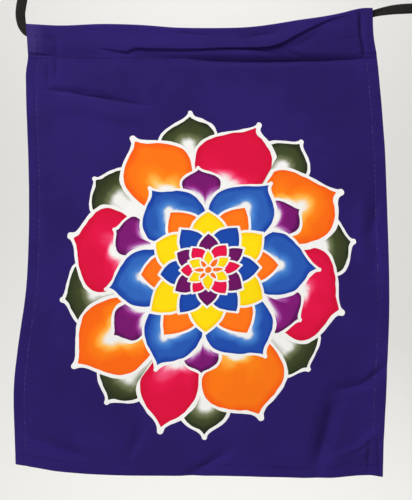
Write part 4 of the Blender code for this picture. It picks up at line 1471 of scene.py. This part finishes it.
def add_stitch(bm, run, start, side):
    """One stitch: a short length of thread that dips into the cloth at both ends."""
    rings = []
    out = Vector((0, 1, 0))
    a_little = 0.1 * MM
    for i in range(STITCH_POINTS):
        t = i / (STITCH_POINTS - 1)
        s, z = run(start + STITCH_LENGTH * t)
        point = Vector(place_on_sheet(s, z, side).tolist())
        lift = CLOTH / 2 + STITCH_ARCH * math.sin(math.pi * t) - STITCH_DIP
        ahead = run(start + STITCH_LENGTH * t + a_little)
        along = Vector((ahead[0] - s, 0, ahead[1] - z)).normalized()
        across = along.cross(out)
        centre = point + out * side * lift
        ring = []
        for k in range(THREAD_SIDES):
            angle = 2 * math.pi * k / THREAD_SIDES
            offset = across * math.cos(angle) + out * math.sin(angle)
            ring.append(bm.verts.new(centre + offset * THREAD_RADIUS))
        rings.append(ring)
    for a, b in zip(rings, rings[1:]):
        for k in range(THREAD_SIDES):
            j = (k + 1) % THREAD_SIDES
            bm.faces.new((a[k], a[j], b[j], b[k])).smooth = True
    bm.faces.new(rings[0][::-1])
    bm.faces.new(rings[-1])


def stitching_mesh(name, runs):
    bm = bmesh.new()
    for run, length in runs:
        for number in range(int(length / STITCH_PITCH)):
            for side, offset in ((-1, 0.0), (1, STITCH_PITCH / 2)):
                add_stitch(bm, run, number * STITCH_PITCH + offset, side)
    return finished_mesh(name, bm)


THREAD_GLINT_SCALE = 120.0
PLY_SCALE = 900.0
PLY_RISE = 0.03 * MM


def thread_material(name, dark, pale, gloss):
    material, tree, shader = new_material(name)
    place = tree.nodes.new("ShaderNodeTexCoord").outputs["Object"]
    tone, _ = noise_at(tree, place, THREAD_GLINT_SCALE, detail=2.0)
    # Painted glints: the noise lifts the thread's colour from dark to pale in patches.
    colour = blended(tree, ramp(tree, tone, 0.4, 0.68), dark, pale)
    feed(tree, shader.inputs["Base Color"], colour)
    shader.inputs["Specular IOR Level"].default_value = gloss
    ply = tree.nodes.new("ShaderNodeTexWave")
    ply.bands_direction = "DIAGONAL"
    feed(tree, ply.inputs["Vector"], place)
    feed(tree, ply.inputs["Scale"], PLY_SCALE)
    feed(tree, shader.inputs["Roughness"], ramp(tree, tone, 0.2, 0.8, 0.45, 0.6))
    add_bump(tree, shader, times(tree, ply.outputs["Fac"], PLY_RISE))
    return material


side_runs, other_runs = stitch_runs()
# Painted glints: the sides' thread is paler than the cloth in patches.
glinting_thread = thread_material("glinting_violet_thread", seen(46, 32, 104), seen(86, 72, 142), 0.4)
# Painted shade: the casing's and the bottom hem's thread is darker than the cloth, a shaded copy of the
# same thread.
shaded_thread = thread_material("shaded_violet_thread", seen(26, 16, 68), seen(38, 24, 88), 0.05)
side_stitching = add_piece(
    "side_stitching", stitching_mesh("side_stitching", side_runs), glinting_thread)
other_stitching = add_piece(
    "other_stitching", stitching_mesh("other_stitching", other_runs), shaded_thread)

# A pale studio sweep stands well behind and below the hanging: floor and backdrop in one, and no part
# of the object.
FLOOR_DROP = 1.2
SWEEP_HALF_WIDTH = 6.0
SWEEP_FRONT = -5.0
SWEEP_BACK = 3.0
SWEEP_BEND = 1.6
SWEEP_BEND_STEPS = 12
SWEEP_HEIGHT = 4.0


def sweep_mesh():
    bend_at = SWEEP_BACK - SWEEP_BEND
    section = [(SWEEP_FRONT, -FLOOR_DROP), (bend_at, -FLOOR_DROP)]
    for i in range(1, SWEEP_BEND_STEPS + 1):
        angle = math.pi / 2 * i / SWEEP_BEND_STEPS
        rise = SWEEP_BEND * (1 - math.cos(angle))
        section.append((bend_at + SWEEP_BEND * math.sin(angle), rise - FLOOR_DROP))
    section.append((SWEEP_BACK, SWEEP_HEIGHT))
    verts = [(side * SWEEP_HALF_WIDTH, y, z) for y, z in section for side in (-1, 1)]
    faces = [(2 * i, 2 * i + 1, 2 * i + 3, 2 * i + 2) for i in range(len(section) - 1)]
    mesh = bpy.data.meshes.new("studio_sweep")
    mesh.from_pydata(verts, [], faces)
    mesh.shade_smooth()
    return mesh


def sweep_material():
    material, tree, shader = new_material("studio_paper")
    shader.inputs["Base Color"].default_value = seen(238, 237, 234)
    shader.inputs["Roughness"].default_value = 0.9
    return material


sweep = bpy.data.objects.new("studio_sweep", sweep_mesh())
sweep.data.materials.append(sweep_material())
bpy.context.scene.collection.objects.link(sweep)

# Soft studio light: a large key from the upper left, a weaker fill from the right, a light behind for
# the other views, one on the backdrop, and a little light from all round.
Light = namedtuple("Light", "name place size watts")
AIM = Vector((0, 0, -0.17))
BACKDROP_AIM = Vector((0, 3, 0))
AIR_LIGHT = 0.33
LIGHTS = listed(
    Light,
    ("key_light", Vector((-1.0, -0.95, 1.3)), 0.7, 43),
    ("fill_light", Vector((1.4, -1.5, 0.1)), 1.4, 6),
    ("back_light", Vector((0.6, 1.6, 1.0)), 1.2, 18),
    ("backdrop_light", Vector((0.0, 1.2, 2.6)), 1.5, 36),
)
for light in LIGHTS:
    aim = BACKDROP_AIM if light.name == "backdrop_light" else AIM
    lamp = bpy.data.lights.new(light.name, "AREA")
    lamp.shape = "SQUARE"
    lamp.size = light.size
    lamp.energy = light.watts
    holder = bpy.data.objects.new(light.name, lamp)
    holder.location = light.place
    holder.rotation_mode = "QUATERNION"
    holder.rotation_quaternion = (aim - light.place).to_track_quat("-Z", "Y")
    bpy.context.scene.collection.objects.link(holder)

world = bpy.data.worlds.new("studio_air")
world.use_nodes = True
background = world.node_tree.nodes["Background"]
background.inputs["Color"].default_value = (1, 1, 1, 1)
background.inputs["Strength"].default_value = AIR_LIGHT
bpy.context.scene.world = world
bpy.context.scene.view_settings.view_transform = "Standard"

# The camera stands square to the hanging, as far off as a 50 mm lens needs for a frame of this height.
PIXEL = 0.787 * MM
PHOTO_HEIGHT_PX = 500
FRAME_CENTRE_PX = 222
FRAME_HEIGHT = PHOTO_HEIGHT_PX * PIXEL
FRAME_CENTRE_DROP = FRAME_CENTRE_PX * PIXEL
LENS_MM = 50
SENSOR_MM = 36
camera_data = bpy.data.cameras.new("camera")
camera_data.lens = LENS_MM
camera_data.sensor_width = SENSOR_MM
camera = bpy.data.objects.new("camera", camera_data)
camera.location = (0, -FRAME_HEIGHT * LENS_MM / SENSOR_MM, -FRAME_CENTRE_DROP)
camera.rotation_euler = (math.pi / 2, 0, 0)
bpy.context.scene.collection.objects.link(camera)
bpy.context.scene.camera = camera
